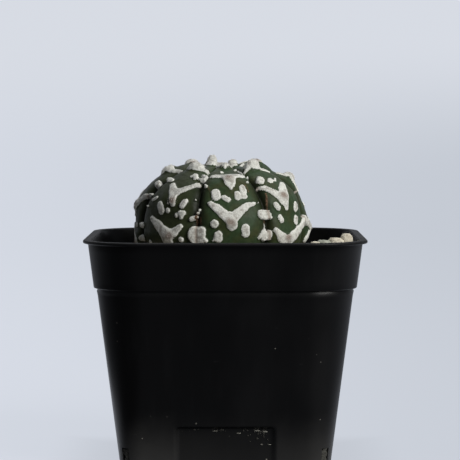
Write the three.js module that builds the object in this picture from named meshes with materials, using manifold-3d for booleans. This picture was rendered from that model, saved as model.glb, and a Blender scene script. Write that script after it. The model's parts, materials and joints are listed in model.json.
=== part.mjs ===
// A potted star cactus: a ribbed globe with raised V-shaped patches of felt and woolly areoles,
// rooted in a gritty mix inside a square black nursery pot with a collar, side recesses and drain slits.
// Millimetres, +Z up. The origin is the centre of the pot's foot, on the surface it stands on,
// and the viewer of the front stands at -Y.
import * as THREE from "three";
import { mergeVertices } from "three/addons/utils/BufferGeometryUtils.js";
import Module from "manifold-3d";

const wasm = await Module();
wasm.setup();

// Clearance that is left between two pieces that touch on the real thing
const CLEARANCE = 0.3;

// Pot: outer sizes
const POT_HEIGHT = 75;
const LIP_HALF_WIDTH = 45;
const LIP_THICKNESS = 0.65;
const LIP_ROUNDING = 0.4;
const COLLAR_DEPTH = 15.1;
const COLLAR_STEP = 0.93;
const STEP_SLOPE = 0.7;
const FOOT_HALF_WIDTH = 33;
const WALL_DRAFT = 0.1288;
const FLAT_HALF_WIDTH = 25.5;
const CORNER_STEPS = 8;
// Pot: walls and floor
const WALL = 1.2;
const SKIRT_WALL = 1.5;
const FLOOR_RAISED = 2.2;
const FLOOR_THICKNESS = 1.4;
const DRAIN_HOLE_RADIUS = 3.5;
const DRAIN_RING_RADIUS = 17;
const SLIT_WIDTH = 3;
const SLIT_HEIGHT = 9.5;
const SLIT_INNER_REACH = 33;
const SLIT_OUTER_REACH = 50;
// Pot: the recessed panel low on each side
const RECESS_WIDTH = 30;
const RECESS_HEIGHT = 16.6;
const RECESS_DEPTH = 1.1;
const RECESS_FRAME = 1.3;

// Cactus body, with heights measured from the pot's rim
const CACTUS_X = -1;
const BODY_RADIUS = 28.3;
const EQUATOR_HEIGHT = 2;
const CROWN_RISE = 20.8;
const CROWN_SQUARENESS = 2.8;
const BASE_DROP = 15;
const BASE_SQUARENESS = 2.2;
const DIMPLE_DEPTH = 1.2;
const DIMPLE_RADIUS = 4.5;
const ROOT_NECK_RADIUS = 6.5;
const ROOT_TIP_RADIUS = 1;
const ROOT_LENGTH = 30;
// Ribs
const RIBS = 8;
const FIRST_RIB_AZIMUTH = 5.5;
const RIB_SWELL = 1.1;
const FURROW_DEPTH = 1.3;
const FURROW_SHARPNESS = 7;
const RIB_HOLLOWS = [0, 0, 0.9, 0.2, 0, 0.3, -0.4, 0];
// How far, in degrees, the furrow on each rib's right strays from halfway to the next rib below the shoulder
const FURROW_LEANS = [4.5, 0, 3, -2, 2, -3, -10.5, 0];
const LEAN_STARTS = 22;
const LEAN_FULL = 38;
// Distance of each areole from the crown's middle along its rib, the height of the wool on it, and the
// sidestep of each rib's areoles from its crest in degrees
const AREOLES = [
  [3.5, 9.5, 22.2, 37.6],
  [6, 14.4, 29.5, 42.6],
  [4.5, 11, 22.3, 38.3],
  [6.5, 16, 30.5, 44.5],
  [4, 11, 24, 38],
  [4.2, 13, 29.5, 44],
  [4, 9.5, 17.8, 33.2, 45.5],
  [6, 14.5, 31, 42.1],
];
const LOW_TUFT_RAISE = 0.5;
const TUFT_RAISES = [
  [1.4, 1.2, 0.9, LOW_TUFT_RAISE],
  [2.2, 2.3, 0.5, LOW_TUFT_RAISE],
  [1.8, 2, 1.4, 0.6],
  [2, 2, 0.7, LOW_TUFT_RAISE],
  [2.2, 2.2, 1, LOW_TUFT_RAISE],
  [3.6, 2.2, 0.6, LOW_TUFT_RAISE],
  [2, 2.2, 1.5, 0.7, LOW_TUFT_RAISE],
  [2, 2.2, 0.5, LOW_TUFT_RAISE],
];
const SIDESTEPS = [0, -4, -5, 1.5, -1, 0, 0, 4];
// The crest swells a little at each areole
const CHIN_SWELL = 0.8;
const CHIN_LENGTH = 5;
// Felt patches and areole tufts, at their largest on the equator
const FELT_RAISE = 0.65;
const FELT_EDGE = 0.4;
const ARM_REACH = 7.4;
const ARM_RISE = 6;
const ARM_ROOT_RADIUS = 1.7;
const ARM_TIP_RADIUS = 0.85;
const STEM_DROP = 2.6;
const FLECK_RADIUS = 1.3;
const FURROW_PATCH_RADIUS = 2.4;
const FURROW_PATCH_RUN = 42.5;
const TUFT_RADIUS = 1.6;
const TUFT_SPREAD = 0.4;
// Mesh of the cactus: rings a row apart, with fewer points near the crown and under the grit
const ROW_STEP = 1.3;
const COLUMNS = RIBS * 16;
const FULL_FROM = 10;
const HALF_FROM = 5;
const RELIEF_ENDS = 51.5;
const BURIED_ROW_STEP = 3.6;
const EDGE_REACH = 0.65;
const EDGE_SPREAD = 0.15;

// Mix and grit
const MIX_TOP = 64.5;
const GRIT_LEVEL = 68.4;
const GRAIN_SPACING = 6.5;
const GRAIN_RADIUS = 3.8;
const GRAIN_SPREAD = 0.2;
const GRAIN_JITTER = 0.8;
const GRAIN_SINK = 2.3;
const HEAP_X = 41;
const HEAP_Y = -14;
const HEAP_RISE = 7.2;
const HEAP_RADIUS = 13;
const GRIT_CEILING = 77;

const DEGREE = Math.PI / 180;

// A repeatable stream of random numbers from 0 to 1.
function seededRandom(seed) {
  let state = seed;
  return () => {
    state = (state + 0x6d2b79f5) | 0;
    let mixed = Math.imul(state ^ (state >>> 15), 1 | state);
    mixed = (mixed + Math.imul(mixed ^ (mixed >>> 7), 61 | mixed)) ^ mixed;
    return ((mixed ^ (mixed >>> 14)) >>> 0) / 4294967296;
  };
}

function smoothStep(from, to, value) {
  const t = Math.min(1, Math.max(0, (value - from) / (to - from)));
  return t * t * (3 - 2 * t);
}

// Turns a closed three.js geometry into a solid that can be joined and cut.
function solidFrom(geometry) {
  const bare = geometry.clone();
  bare.deleteAttribute("normal");
  bare.deleteAttribute("uv");
  const merged = mergeVertices(bare, 1e-4);
  return new wasm.Manifold(
    new wasm.Mesh({
      numProp: 3,
      vertProperties: new Float32Array(merged.attributes.position.array),
      triVerts: new Uint32Array(merged.index.array),
    }),
  );
}

// Turns the largest body of a solid back into a geometry, and drops loose scraps.
function geometryFrom(solid) {
  const bodies = solid.decompose().sort((a, b) => b.volume() - a.volume());
  const mesh = bodies[0].getMesh();
  const positions = new Float32Array(mesh.numVert * 3);
  for (let i = 0; i < mesh.numVert; i++) {
    positions.set(mesh.vertProperties.subarray(i * mesh.numProp, i * mesh.numProp + 3), i * 3);
  }
  const geometry = new THREE.BufferGeometry();
  geometry.setAttribute("position", new THREE.BufferAttribute(positions, 3));
  geometry.setIndex(new THREE.BufferAttribute(new Uint32Array(mesh.triVerts), 1));
  geometry.computeVertexNormals();
  return geometry;
}

// Skins a closed body over rings of points that run anticlockwise seen from above. The rings follow
// the surface from its first pole to its last, and two neighbours have as many points as each other or
// one has twice as many. Where points say how far they are raised, a face is split along its more level
// diagonal.
function skin(firstPole, rings, lastPole) {
  const positions = [];
  const add = (...points) => points.forEach((p) => positions.push(p.x, p.y, p.z));
  const first = rings[0];
  const last = rings[rings.length - 1];
  first.forEach((p, i) => add(firstPole, first[(i + 1) % first.length], p));
  for (let i = 0; i + 1 < rings.length; i++) {
    const [low, high] = [rings[i], rings[i + 1]];
    const n = Math.min(low.length, high.length);
    for (let j = 0; j < n; j++) {
      const k = (j + 1) % n;
      if (low.length === high.length) {
        const rises = Math.abs(low[j].raised - high[k].raised) > Math.abs(low[k].raised - high[j].raised);
        if (rises) add(low[j], low[k], high[j], low[k], high[k], high[j]);
        else add(low[j], low[k], high[k], low[j], high[k], high[j]);
      } else if (high.length > low.length) {
        const middle = high[2 * j + 1];
        add(low[j], low[k], middle, low[j], middle, high[2 * j], low[k], high[2 * k], middle);
      } else {
        const middle = low[2 * j + 1];
        add(low[2 * j], middle, high[j], middle, high[k], high[j], middle, low[2 * k], high[k]);
      }
    }
  }
  last.forEach((p, i) => add(p, last[(i + 1) % last.length], lastPole));
  const geometry = new THREE.BufferGeometry();
  geometry.setAttribute("position", new THREE.Float32BufferAttribute(positions, 3));
  return geometry;
}

// A ring of a square with round corners, whose straight runs keep one length at every height.
function roundedSquare(half, z) {
  const radius = half - FLAT_HALF_WIDTH;
  const ring = [];
  for (let corner = 0; corner < 4; corner++) {
    const centre = new THREE.Vector2(FLAT_HALF_WIDTH, FLAT_HALF_WIDTH);
    centre.rotateAround(new THREE.Vector2(), corner * 90 * DEGREE);
    for (let i = 0; i <= CORNER_STEPS; i++) {
      const angle = (corner + i / CORNER_STEPS) * 90 * DEGREE;
      const [x, y] = [centre.x + radius * Math.cos(angle), centre.y + radius * Math.sin(angle)];
      ring.push(new THREE.Vector3(x, y, z));
    }
  }
  return ring;
}

function loftSquares(profile) {
  const rings = profile.map(([half, z]) => roundedSquare(half, z));
  const bottom = new THREE.Vector3(0, 0, profile[0][1]);
  const top = new THREE.Vector3(0, 0, profile[profile.length - 1][1]);
  return skin(bottom, rings, top);
}

// The pot's own levels and half widths, from its driving sizes
const collarBottom = POT_HEIGHT - COLLAR_DEPTH;
const bodyTop = collarBottom - STEP_SLOPE;
const underLip = POT_HEIGHT - LIP_THICKNESS - LIP_ROUNDING;
const bodyHalf = (z) => FOOT_HALF_WIDTH + WALL_DRAFT * z;
const collarHalf = (z) => bodyHalf(z) + COLLAR_STEP;
const floorTop = FLOOR_RAISED + FLOOR_THICKNESS;
const mouthHalf = collarHalf(POT_HEIGHT) - WALL;

// Half width of the pot's inside at a height, less a clearance.
function insideHalf(z, clearance) {
  const outer = z <= bodyTop + WALL / 2 ? bodyHalf(z) : collarHalf(z);
  return outer - WALL - clearance;
}

// A box that lies against the pot's -Y wall, from inner to outer depth behind the wall's outer face.
function wallBox(width, height, outerDepth, innerDepth, lowerBy) {
  const box = new THREE.BoxGeometry(width, innerDepth - outerDepth, height + lowerBy);
  box.translate(0, (outerDepth + innerDepth) / 2, (height - lowerBy) / 2);
  box.rotateX(Math.atan(WALL_DRAFT));
  return box.translate(0, -FOOT_HALF_WIDTH, 0);
}

function onFourSides(geometry) {
  return [0, 1, 2, 3].map((side) => solidFrom(geometry.clone().rotateZ(side * 90 * DEGREE)));
}

// The thickened wall behind each recess, which also bounds the mix inside.
function recessBacks(clearance) {
  const width = RECESS_WIDTH + 2 * (RECESS_FRAME + clearance);
  const height = RECESS_HEIGHT + RECESS_FRAME + clearance;
  const back = wallBox(width, height, WALL / 2, RECESS_DEPTH + WALL + clearance, 2);
  return wasm.Manifold.union(onFourSides(back));
}

function makePot() {
  const shell = loftSquares([
    [bodyHalf(FLOOR_RAISED) - SKIRT_WALL, FLOOR_RAISED],
    [bodyHalf(0) - SKIRT_WALL, 0],
    [bodyHalf(0), 0],
    [bodyHalf(bodyTop), bodyTop],
    [collarHalf(collarBottom), collarBottom],
    [collarHalf(underLip), underLip],
    [LIP_HALF_WIDTH - LIP_ROUNDING, underLip],
    [LIP_HALF_WIDTH, underLip + LIP_ROUNDING],
    [LIP_HALF_WIDTH, POT_HEIGHT - LIP_ROUNDING],
    [LIP_HALF_WIDTH - LIP_ROUNDING, POT_HEIGHT],
    [mouthHalf + LIP_ROUNDING, POT_HEIGHT],
    [mouthHalf, POT_HEIGHT - LIP_ROUNDING],
    [insideHalf(collarBottom + WALL / 2, 0), collarBottom + WALL / 2],
    [insideHalf(bodyTop, 0), bodyTop],
    [insideHalf(floorTop, 0), floorTop],
  ]);
  const aboveGround = new THREE.BoxGeometry(4 * LIP_HALF_WIDTH, 4 * LIP_HALF_WIDTH, POT_HEIGHT);
  aboveGround.translate(0, 0, POT_HEIGHT / 2);
  const recess = wallBox(RECESS_WIDTH, RECESS_HEIGHT, -2, RECESS_DEPTH, 3);
  const slit = new THREE.BoxGeometry(SLIT_OUTER_REACH - SLIT_INNER_REACH, SLIT_WIDTH, 2 * SLIT_HEIGHT);
  slit.translate((SLIT_OUTER_REACH + SLIT_INNER_REACH) / 2, 0, 0).rotateZ(45 * DEGREE);
  const hole = new THREE.CylinderGeometry(DRAIN_HOLE_RADIUS, DRAIN_HOLE_RADIUS, 4 * floorTop, 20);
  hole.rotateX(90 * DEGREE);
  const outerHoles = onFourSides(hole.clone().translate(DRAIN_RING_RADIUS, 0, 0));
  const pot = solidFrom(shell)
    .add(recessBacks(0).intersect(solidFrom(aboveGround)))
    .subtract(wasm.Manifold.union(onFourSides(recess)))
    .subtract(wasm.Manifold.union(onFourSides(slit)))
    .subtract(wasm.Manifold.union([solidFrom(hole), ...outerHoles]));
  return geometryFrom(pot);
}

// Superellipse of the body: the angle runs from 0 at the crown, through 90 at the equator, to 180 below.
function bodyPoint(angle) {
  const upper = angle <= 90;
  const power = 2 / (upper ? CROWN_SQUARENESS : BASE_SQUARENESS);
  const radius = BODY_RADIUS * Math.pow(Math.abs(Math.sin(angle * DEGREE)), power);
  const rise = Math.pow(Math.abs(Math.cos(angle * DEGREE)), power);
  const height = EQUATOR_HEIGHT + (upper ? CROWN_RISE * rise : -BASE_DROP * rise);
  const dimple = upper ? DIMPLE_DEPTH * Math.exp(-((radius / DIMPLE_RADIUS) ** 2)) : 0;
  return { radius, height: height - dimple };
}

// The crest line from the crown's middle down to the root's tip, with the distance run along it.
function traceCrest() {
  const points = [];
  for (let angle = 0; angle <= 180; angle += 0.25) {
    const point = bodyPoint(angle);
    if (angle > 90 && point.radius < ROOT_NECK_RADIUS) break;
    points.push(point);
  }
  const neck = points[points.length - 1];
  const rootSteps = 40;
  for (let i = 1; i <= rootSteps; i++) {
    const down = i / rootSteps;
    const radius = ROOT_TIP_RADIUS + (neck.radius - ROOT_TIP_RADIUS) * Math.pow(1 - down, 1.4);
    points.push({ radius, height: neck.height - ROOT_LENGTH * down });
  }
  let run = 0;
  points.forEach((point, i) => {
    if (i > 0) {
      const before = points[i - 1];
      run += Math.hypot(point.radius - before.radius, point.height - before.height);
    }
    point.run = run;
  });
  return points;
}

const crest = traceCrest();
const crestLength = crest[crest.length - 1].run;
const rootTip = POT_HEIGHT + crest[crest.length - 1].height - ROOT_TIP_RADIUS;

// Radius, height and outward normal of the crest at a distance along it.
function crestAt(run) {
  const i = Math.max(1, Math.min(crest.length - 1, crest.findIndex((p) => p.run >= run)));
  const [a, b] = [crest[i - 1], crest[i]];
  const t = (run - a.run) / (b.run - a.run || 1);
  const [out, down] = [b.radius - a.radius, a.height - b.height];
  const length = Math.hypot(out, down);
  return {
    radius: a.radius + t * (b.radius - a.radius),
    height: a.height + t * (b.height - a.height),
    normalOut: down / length,
    normalUp: out / length,
  };
}

// Distance from a point to a tapered capsule between two points, negative inside.
function capsuleDistance(x, y, capsule) {
  const [ax, ay, ar, bx, by, br] = capsule;
  const [dx, dy] = [bx - ax, by - ay];
  const t = Math.min(1, Math.max(0, ((x - ax) * dx + (y - ay) * dy) / (dx * dx + dy * dy || 1)));
  return Math.hypot(x - ax - t * dx, y - ay - t * dy) - (ar + t * (br - ar));
}

// The felt of one rib: V-shaped patches at the areoles, flecks between them and a patch across each
// furrow, as capsules in millimetres across and down the rib.
function feltOfRib(rib) {
  const random = seededRandom(rib + 11);
  const sidestep = SIDESTEPS[rib] * DEGREE;
  const patches = [];
  const tufts = [];
  AREOLES[rib].forEach((run, row) => {
    const share = crestAt(run).radius / BODY_RADIUS;
    const size = Math.sqrt(share);
    const reach = ARM_REACH * share;
    const x = sidestep * crestAt(run).radius;
    const raise = TUFT_RAISES[rib][row];
    tufts.push({ x, run, raise, radius: TUFT_RADIUS + TUFT_SPREAD * Math.min(raise, 2) });
    for (const side of [-1, 1]) {
      const tipX = x + side * reach * (0.92 + 0.16 * random());
      patches.push([x, run, ARM_ROOT_RADIUS * size, tipX, run - ARM_RISE * size, ARM_TIP_RADIUS * size]);
    }
    patches.push([x, run, ARM_ROOT_RADIUS * size, x, run + STEM_DROP * size, ARM_TIP_RADIUS * size]);
    if (row === 0) return;
    const middle = (run + AREOLES[rib][row - 1]) / 2;
    for (const side of [-1, 1]) {
      for (const [across, down] of [[0.36, -0.4], [0.86, 1.4]]) {
        const radius = FLECK_RADIUS * size * (0.8 + 0.4 * random());
        const fleckX = x + side * across * reach;
        const fleckRun = middle + down * size + random() - 0.5;
        const end = [fleckX + side * 0.4, fleckRun + 1.2 * size, radius * 0.8];
        patches.push([fleckX, fleckRun, radius, ...end]);
      }
    }
  });
  for (const side of [-1, 1]) {
    const x = side * furrowDistance(rib, side, FURROW_PATCH_RUN);
    const narrowed = FURROW_PATCH_RADIUS * 0.8;
    patches.push([x, FURROW_PATCH_RUN, FURROW_PATCH_RADIUS, x, FURROW_PATCH_RUN + 1.5, narrowed]);
  }
  return { patches, tufts };
}

// How far the furrow on one side lies from a rib's crest, across the rib.
function furrowDistance(rib, side, run) {
  const lean = side > 0 ? FURROW_LEANS[rib] : -FURROW_LEANS[(rib + RIBS - 1) % RIBS];
  const reach = 180 / RIBS + lean * smoothStep(LEAN_STARTS, LEAN_FULL, run);
  return crestAt(run).radius * reach * DEGREE;
}

const feltOfRibs = Array.from({ length: RIBS }, (_, rib) => feltOfRib(rib));

function feltDistance(felt, x, run) {
  return Math.min(...felt.patches.map((patch) => capsuleDistance(x, run, patch)));
}

// Draws a point that is near a patch's edge onto that edge, so that the mesh follows the outlines.
function drawnToEdge(rib, x, run) {
  const felt = feltOfRibs[rib];
  const distance = feltDistance(felt, x, run);
  const furrow = furrowDistance(rib, x, run);
  if (Math.abs(distance) > EDGE_REACH || Math.abs(x) > furrow - 0.01) return [x, run];
  const nearby = 0.05;
  const slopeX = feltDistance(felt, x + nearby, run) - feltDistance(felt, x - nearby, run);
  const slopeRun = feltDistance(felt, x, run + nearby) - feltDistance(felt, x, run - nearby);
  const wanted = EDGE_SPREAD * distance + (distance > 0 ? FELT_EDGE : 0);
  const move = (wanted - distance) / (Math.hypot(slopeX, slopeRun) || 1);
  const limit = furrow - 0.4;
  return [Math.min(limit, Math.max(-limit, x + move * slopeX)), run + move * slopeRun];
}

// Height of the surface over the smooth crest form, at a place across and down one rib.
function relief(rib, x, run) {
  const felt = feltOfRibs[rib];
  const edge = Math.min(1, Math.abs(x) / furrowDistance(rib, x, run));
  const grooved = smoothStep(1, 12, run) * (1 - smoothStep(RELIEF_ENDS - 3, RELIEF_ENDS + 8, run));
  const furrow = RIB_SWELL * edge ** 2 + FURROW_DEPTH * edge ** FURROW_SHARPNESS;
  if (run > RELIEF_ENDS) return -furrow * grooved;
  const chins = AREOLES[rib].map((areole) => Math.exp(-(((run - areole) / CHIN_LENGTH) ** 2)));
  const swell = CHIN_SWELL * (Math.max(...chins) - 0.6) - RIB_HOLLOWS[rib] * (1 - Math.max(...chins));
  const tufts = felt.tufts.map((tuft) => {
    const away = Math.hypot(x - tuft.x, run - tuft.run) / tuft.radius;
    return tuft.raise * Math.exp(-(away ** 2.4));
  });
  const raised = FELT_RAISE * smoothStep(FELT_EDGE, 0, feltDistance(felt, x, run));
  const onCrest = swell * (1 - edge ** 2) * smoothStep(4, 14, run);
  const aboveGrit = smoothStep(RELIEF_ENDS, RELIEF_ENDS - 3, run);
  return (raised + Math.max(...tufts) + onCrest) * aboveGrit - furrow * grooved;
}

function cactusRing(run, count) {
  const ring = [];
  for (let i = 0; i < count; i++) {
    const turn = (i * RIBS) / count;
    const rib = Math.round(turn) % RIBS;
    const across = turn - Math.round(turn);
    let [x, along] = [across * 2 * furrowDistance(rib, across, run), run];
    if (count === COLUMNS && run < RELIEF_ENDS) {
      [x, along] = drawnToEdge(rib, x, run);
    }
    const at = crestAt(along);
    const raised = relief(rib, x, along);
    const radius = at.radius + raised * at.normalOut;
    const angle = (FIRST_RIB_AZIMUTH + (360 * rib) / RIBS - 90) * DEGREE + x / at.radius;
    const point = new THREE.Vector3();
    point.x = CACTUS_X + radius * Math.cos(angle);
    point.y = radius * Math.sin(angle);
    point.z = POT_HEIGHT + at.height + raised * at.normalUp;
    ring.push(Object.assign(point, { raised }));
  }
  return ring;
}

function makeCactus() {
  const rings = [];
  let run = crestLength - 0.01;
  while (run > ROW_STEP / 2) {
    const quarter = run > RELIEF_ENDS + 6 || run < HALF_FROM;
    const half = run > RELIEF_ENDS || run < FULL_FROM;
    rings.push(cactusRing(run, COLUMNS / (quarter ? 4 : half ? 2 : 1)));
    run -= run > RELIEF_ENDS ? BURIED_ROW_STEP : ROW_STEP;
  }
  const tip = new THREE.Vector3(CACTUS_X, 0, rootTip);
  const crown = new THREE.Vector3(CACTUS_X, 0, POT_HEIGHT + crestAt(0).height);
  return geometryFrom(solidFrom(skin(tip, rings, crown)));
}

// The plain round hole that the cactus stands in: its crest line turned about its axis, with room for
// the relief where it isn't buried.
function cactusRoom() {
  const profile = [new THREE.Vector2(0, rootTip - CLEARANCE)];
  for (let run = crestLength; run > 0; run -= BURIED_ROW_STEP) {
    const at = crestAt(run);
    if (at.height > EQUATOR_HEIGHT) break;
    const aboveGrit = smoothStep(RELIEF_ENDS + 2, RELIEF_ENDS - 3, run);
    const room = CLEARANCE * 1.3 + (FELT_RAISE + LOW_TUFT_RAISE) * aboveGrit;
    const [out, up] = [at.radius + room * at.normalOut + 0.1, at.height + room * at.normalUp];
    profile.push(new THREE.Vector2(out, POT_HEIGHT + up));
  }
  const widest = BODY_RADIUS + FELT_RAISE + LOW_TUFT_RAISE + CLEARANCE;
  profile.push(new THREE.Vector2(widest, POT_HEIGHT + EQUATOR_HEIGHT));
  profile.push(new THREE.Vector2(widest, GRIT_CEILING + 10), new THREE.Vector2(0, GRIT_CEILING + 10));
  const room = new THREE.LatheGeometry(profile, 32);
  return solidFrom(room.rotateX(90 * DEGREE).translate(CACTUS_X, 0, 0));
}

// What fills the pot's inside between two heights, clear of its walls.
function insidePlug(bottom, top) {
  const straightTop = POT_HEIGHT - LIP_ROUNDING;
  const bends = [bodyTop, collarBottom + WALL / 2, straightTop].filter((z) => z > bottom && z < top);
  const halfAt = (z) => insideHalf(Math.min(z, straightTop), CLEARANCE);
  return solidFrom(loftSquares([bottom, ...bends, top].map((z) => [halfAt(z), z])));
}

function makeMix() {
  const plug = insidePlug(floorTop + CLEARANCE, MIX_TOP);
  return geometryFrom(plug.subtract(recessBacks(CLEARANCE)).subtract(cactusRoom()));
}

function gritHeight(x, y) {
  const away = Math.hypot(x - HEAP_X, y - HEAP_Y) / HEAP_RADIUS;
  return GRIT_LEVEL + HEAP_RISE * Math.exp(-(away ** 2));
}

// One angular grain, flattened and turned at random.
function makeGrain(random, x, y, z) {
  const radius = GRAIN_RADIUS * (1 - GRAIN_SPREAD + 2 * GRAIN_SPREAD * random());
  const grain = new THREE.IcosahedronGeometry(radius, 0);
  grain.scale(1, 0.85 + 0.3 * random(), 0.7 + 0.2 * random());
  grain.rotateX(random() * 3).rotateY(random() * 3).rotateZ(random() * 6);
  return solidFrom(grain.translate(x, y, z));
}

function makeGrit() {
  const random = seededRandom(5);
  const grains = [];
  const rows = Math.ceil(mouthHalf / GRAIN_SPACING);
  const bedTop = GRIT_LEVEL - GRAIN_SINK;
  for (let i = -rows; i <= rows; i++) {
    for (let j = -rows; j <= rows; j++) {
      const x = (i + (j % 2) / 2) * GRAIN_SPACING + (random() - 0.5) * 2 * GRAIN_JITTER;
      const y = j * GRAIN_SPACING * 0.9 + (random() - 0.5) * 2 * GRAIN_JITTER;
      const fromCactus = Math.hypot(x - CACTUS_X, y);
      const inner = insideHalf(GRIT_LEVEL, CLEARANCE) - GRAIN_RADIUS * 0.6;
      if (fromCactus < BODY_RADIUS - 2 || Math.abs(x) > inner || Math.abs(y) > inner) continue;
      const top = gritHeight(x, y) - GRAIN_SINK;
      for (let z = top; z > bedTop - 0.5; z -= GRAIN_RADIUS) {
        grains.push(makeGrain(random, x, y, z));
      }
    }
  }
  const bed = insidePlug(MIX_TOP + CLEARANCE, bedTop);
  const trimmed = bed
    .add(wasm.Manifold.union(grains))
    .intersect(insidePlug(MIX_TOP + CLEARANCE, GRIT_CEILING))
    .subtract(cactusRoom());
  return geometryFrom(trimmed);
}

function named(name, geometry, color, roughness) {
  const material = new THREE.MeshStandardMaterial({ color, roughness, metalness: 0, flatShading: true });
  const mesh = new THREE.Mesh(geometry, material);
  mesh.name = name;
  return mesh;
}

const plant = new THREE.Group();
plant.add(
  named("pot", makePot(), 0x141416, 0.45),
  named("potting_mix", makeMix(), 0x5a4632, 0.95),
  named("grit", makeGrit(), 0xcfc6a8, 0.9),
  named("cactus", makeCactus(), 0x2f4a2c, 0.6),
);

export default plant;
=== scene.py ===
"""Dresses the potted star cactus: pot, potting mix, top dressing, ribbed body, felt, wool and studio."""

from __future__ import annotations

import json
import logging
import math
from dataclasses import dataclass, field
from enum import Enum
from typing import Callable, Sequence

import bpy
import numpy as np
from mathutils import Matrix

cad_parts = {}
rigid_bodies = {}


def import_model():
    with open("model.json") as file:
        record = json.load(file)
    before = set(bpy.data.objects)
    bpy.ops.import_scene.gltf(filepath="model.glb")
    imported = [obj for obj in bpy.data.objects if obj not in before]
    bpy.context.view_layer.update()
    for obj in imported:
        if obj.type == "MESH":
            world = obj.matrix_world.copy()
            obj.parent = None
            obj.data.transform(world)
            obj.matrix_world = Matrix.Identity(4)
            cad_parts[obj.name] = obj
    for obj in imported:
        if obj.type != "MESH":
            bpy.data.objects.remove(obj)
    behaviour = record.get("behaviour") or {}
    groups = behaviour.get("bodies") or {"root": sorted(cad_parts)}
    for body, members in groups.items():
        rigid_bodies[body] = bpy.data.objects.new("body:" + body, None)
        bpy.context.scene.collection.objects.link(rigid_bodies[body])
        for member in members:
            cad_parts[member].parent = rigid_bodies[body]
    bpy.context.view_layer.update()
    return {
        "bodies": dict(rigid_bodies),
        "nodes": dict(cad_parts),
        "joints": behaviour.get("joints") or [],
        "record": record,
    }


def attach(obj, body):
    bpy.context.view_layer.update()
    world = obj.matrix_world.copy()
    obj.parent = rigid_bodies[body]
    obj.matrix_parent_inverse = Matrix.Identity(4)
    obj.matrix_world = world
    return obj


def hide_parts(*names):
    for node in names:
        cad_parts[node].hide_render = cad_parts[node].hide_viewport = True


log = logging.getLogger("potted_cactus")

MM = 0.001
Triple = tuple[float, float, float]
Colour = Triple
Pair = tuple[float, float]
Array = np.ndarray


# Shapes from whole arrays


def smooth(start: float, end: float, value: Array | float) -> Array:
    """Eases from 0 at start to 1 at end: t * t * (3 - 2 t), with t held between 0 and 1."""
    t = np.clip((np.asarray(value, dtype=float) - start) / (end - start), 0.0, 1.0)
    return t * t * (3.0 - 2.0 * t)


@dataclass(frozen=True)
class Ripples:
    """Seeded waves in space that stand in for natural unevenness.

    The value at a point p is the mean of sines of (2 pi / wavelength) * f * (d . p) + phase, over
    random directions d, stretches f and phases, scaled to run from about -1 to 1.
    """

    wavelength: float
    seed: int
    waves: int = 14

    def at(self, points: Array) -> Array:
        """Returns the waves' height at points.

        Args:
            points: Positions in millimetres, one row each.

        Returns:
            One value a point.
        """
        rng = np.random.default_rng(self.seed)
        directions = rng.normal(size=(3, self.waves))
        directions /= np.linalg.norm(directions, axis=0)
        stretch = rng.uniform(0.6, 1.5, self.waves)
        phases = rng.uniform(0.0, 2.0 * math.pi, self.waves)
        angles = points @ (directions * stretch) * (2.0 * math.pi / self.wavelength) + phases
        return np.sin(angles).mean(axis=-1) * math.sqrt(self.waves / 2.0)


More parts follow.
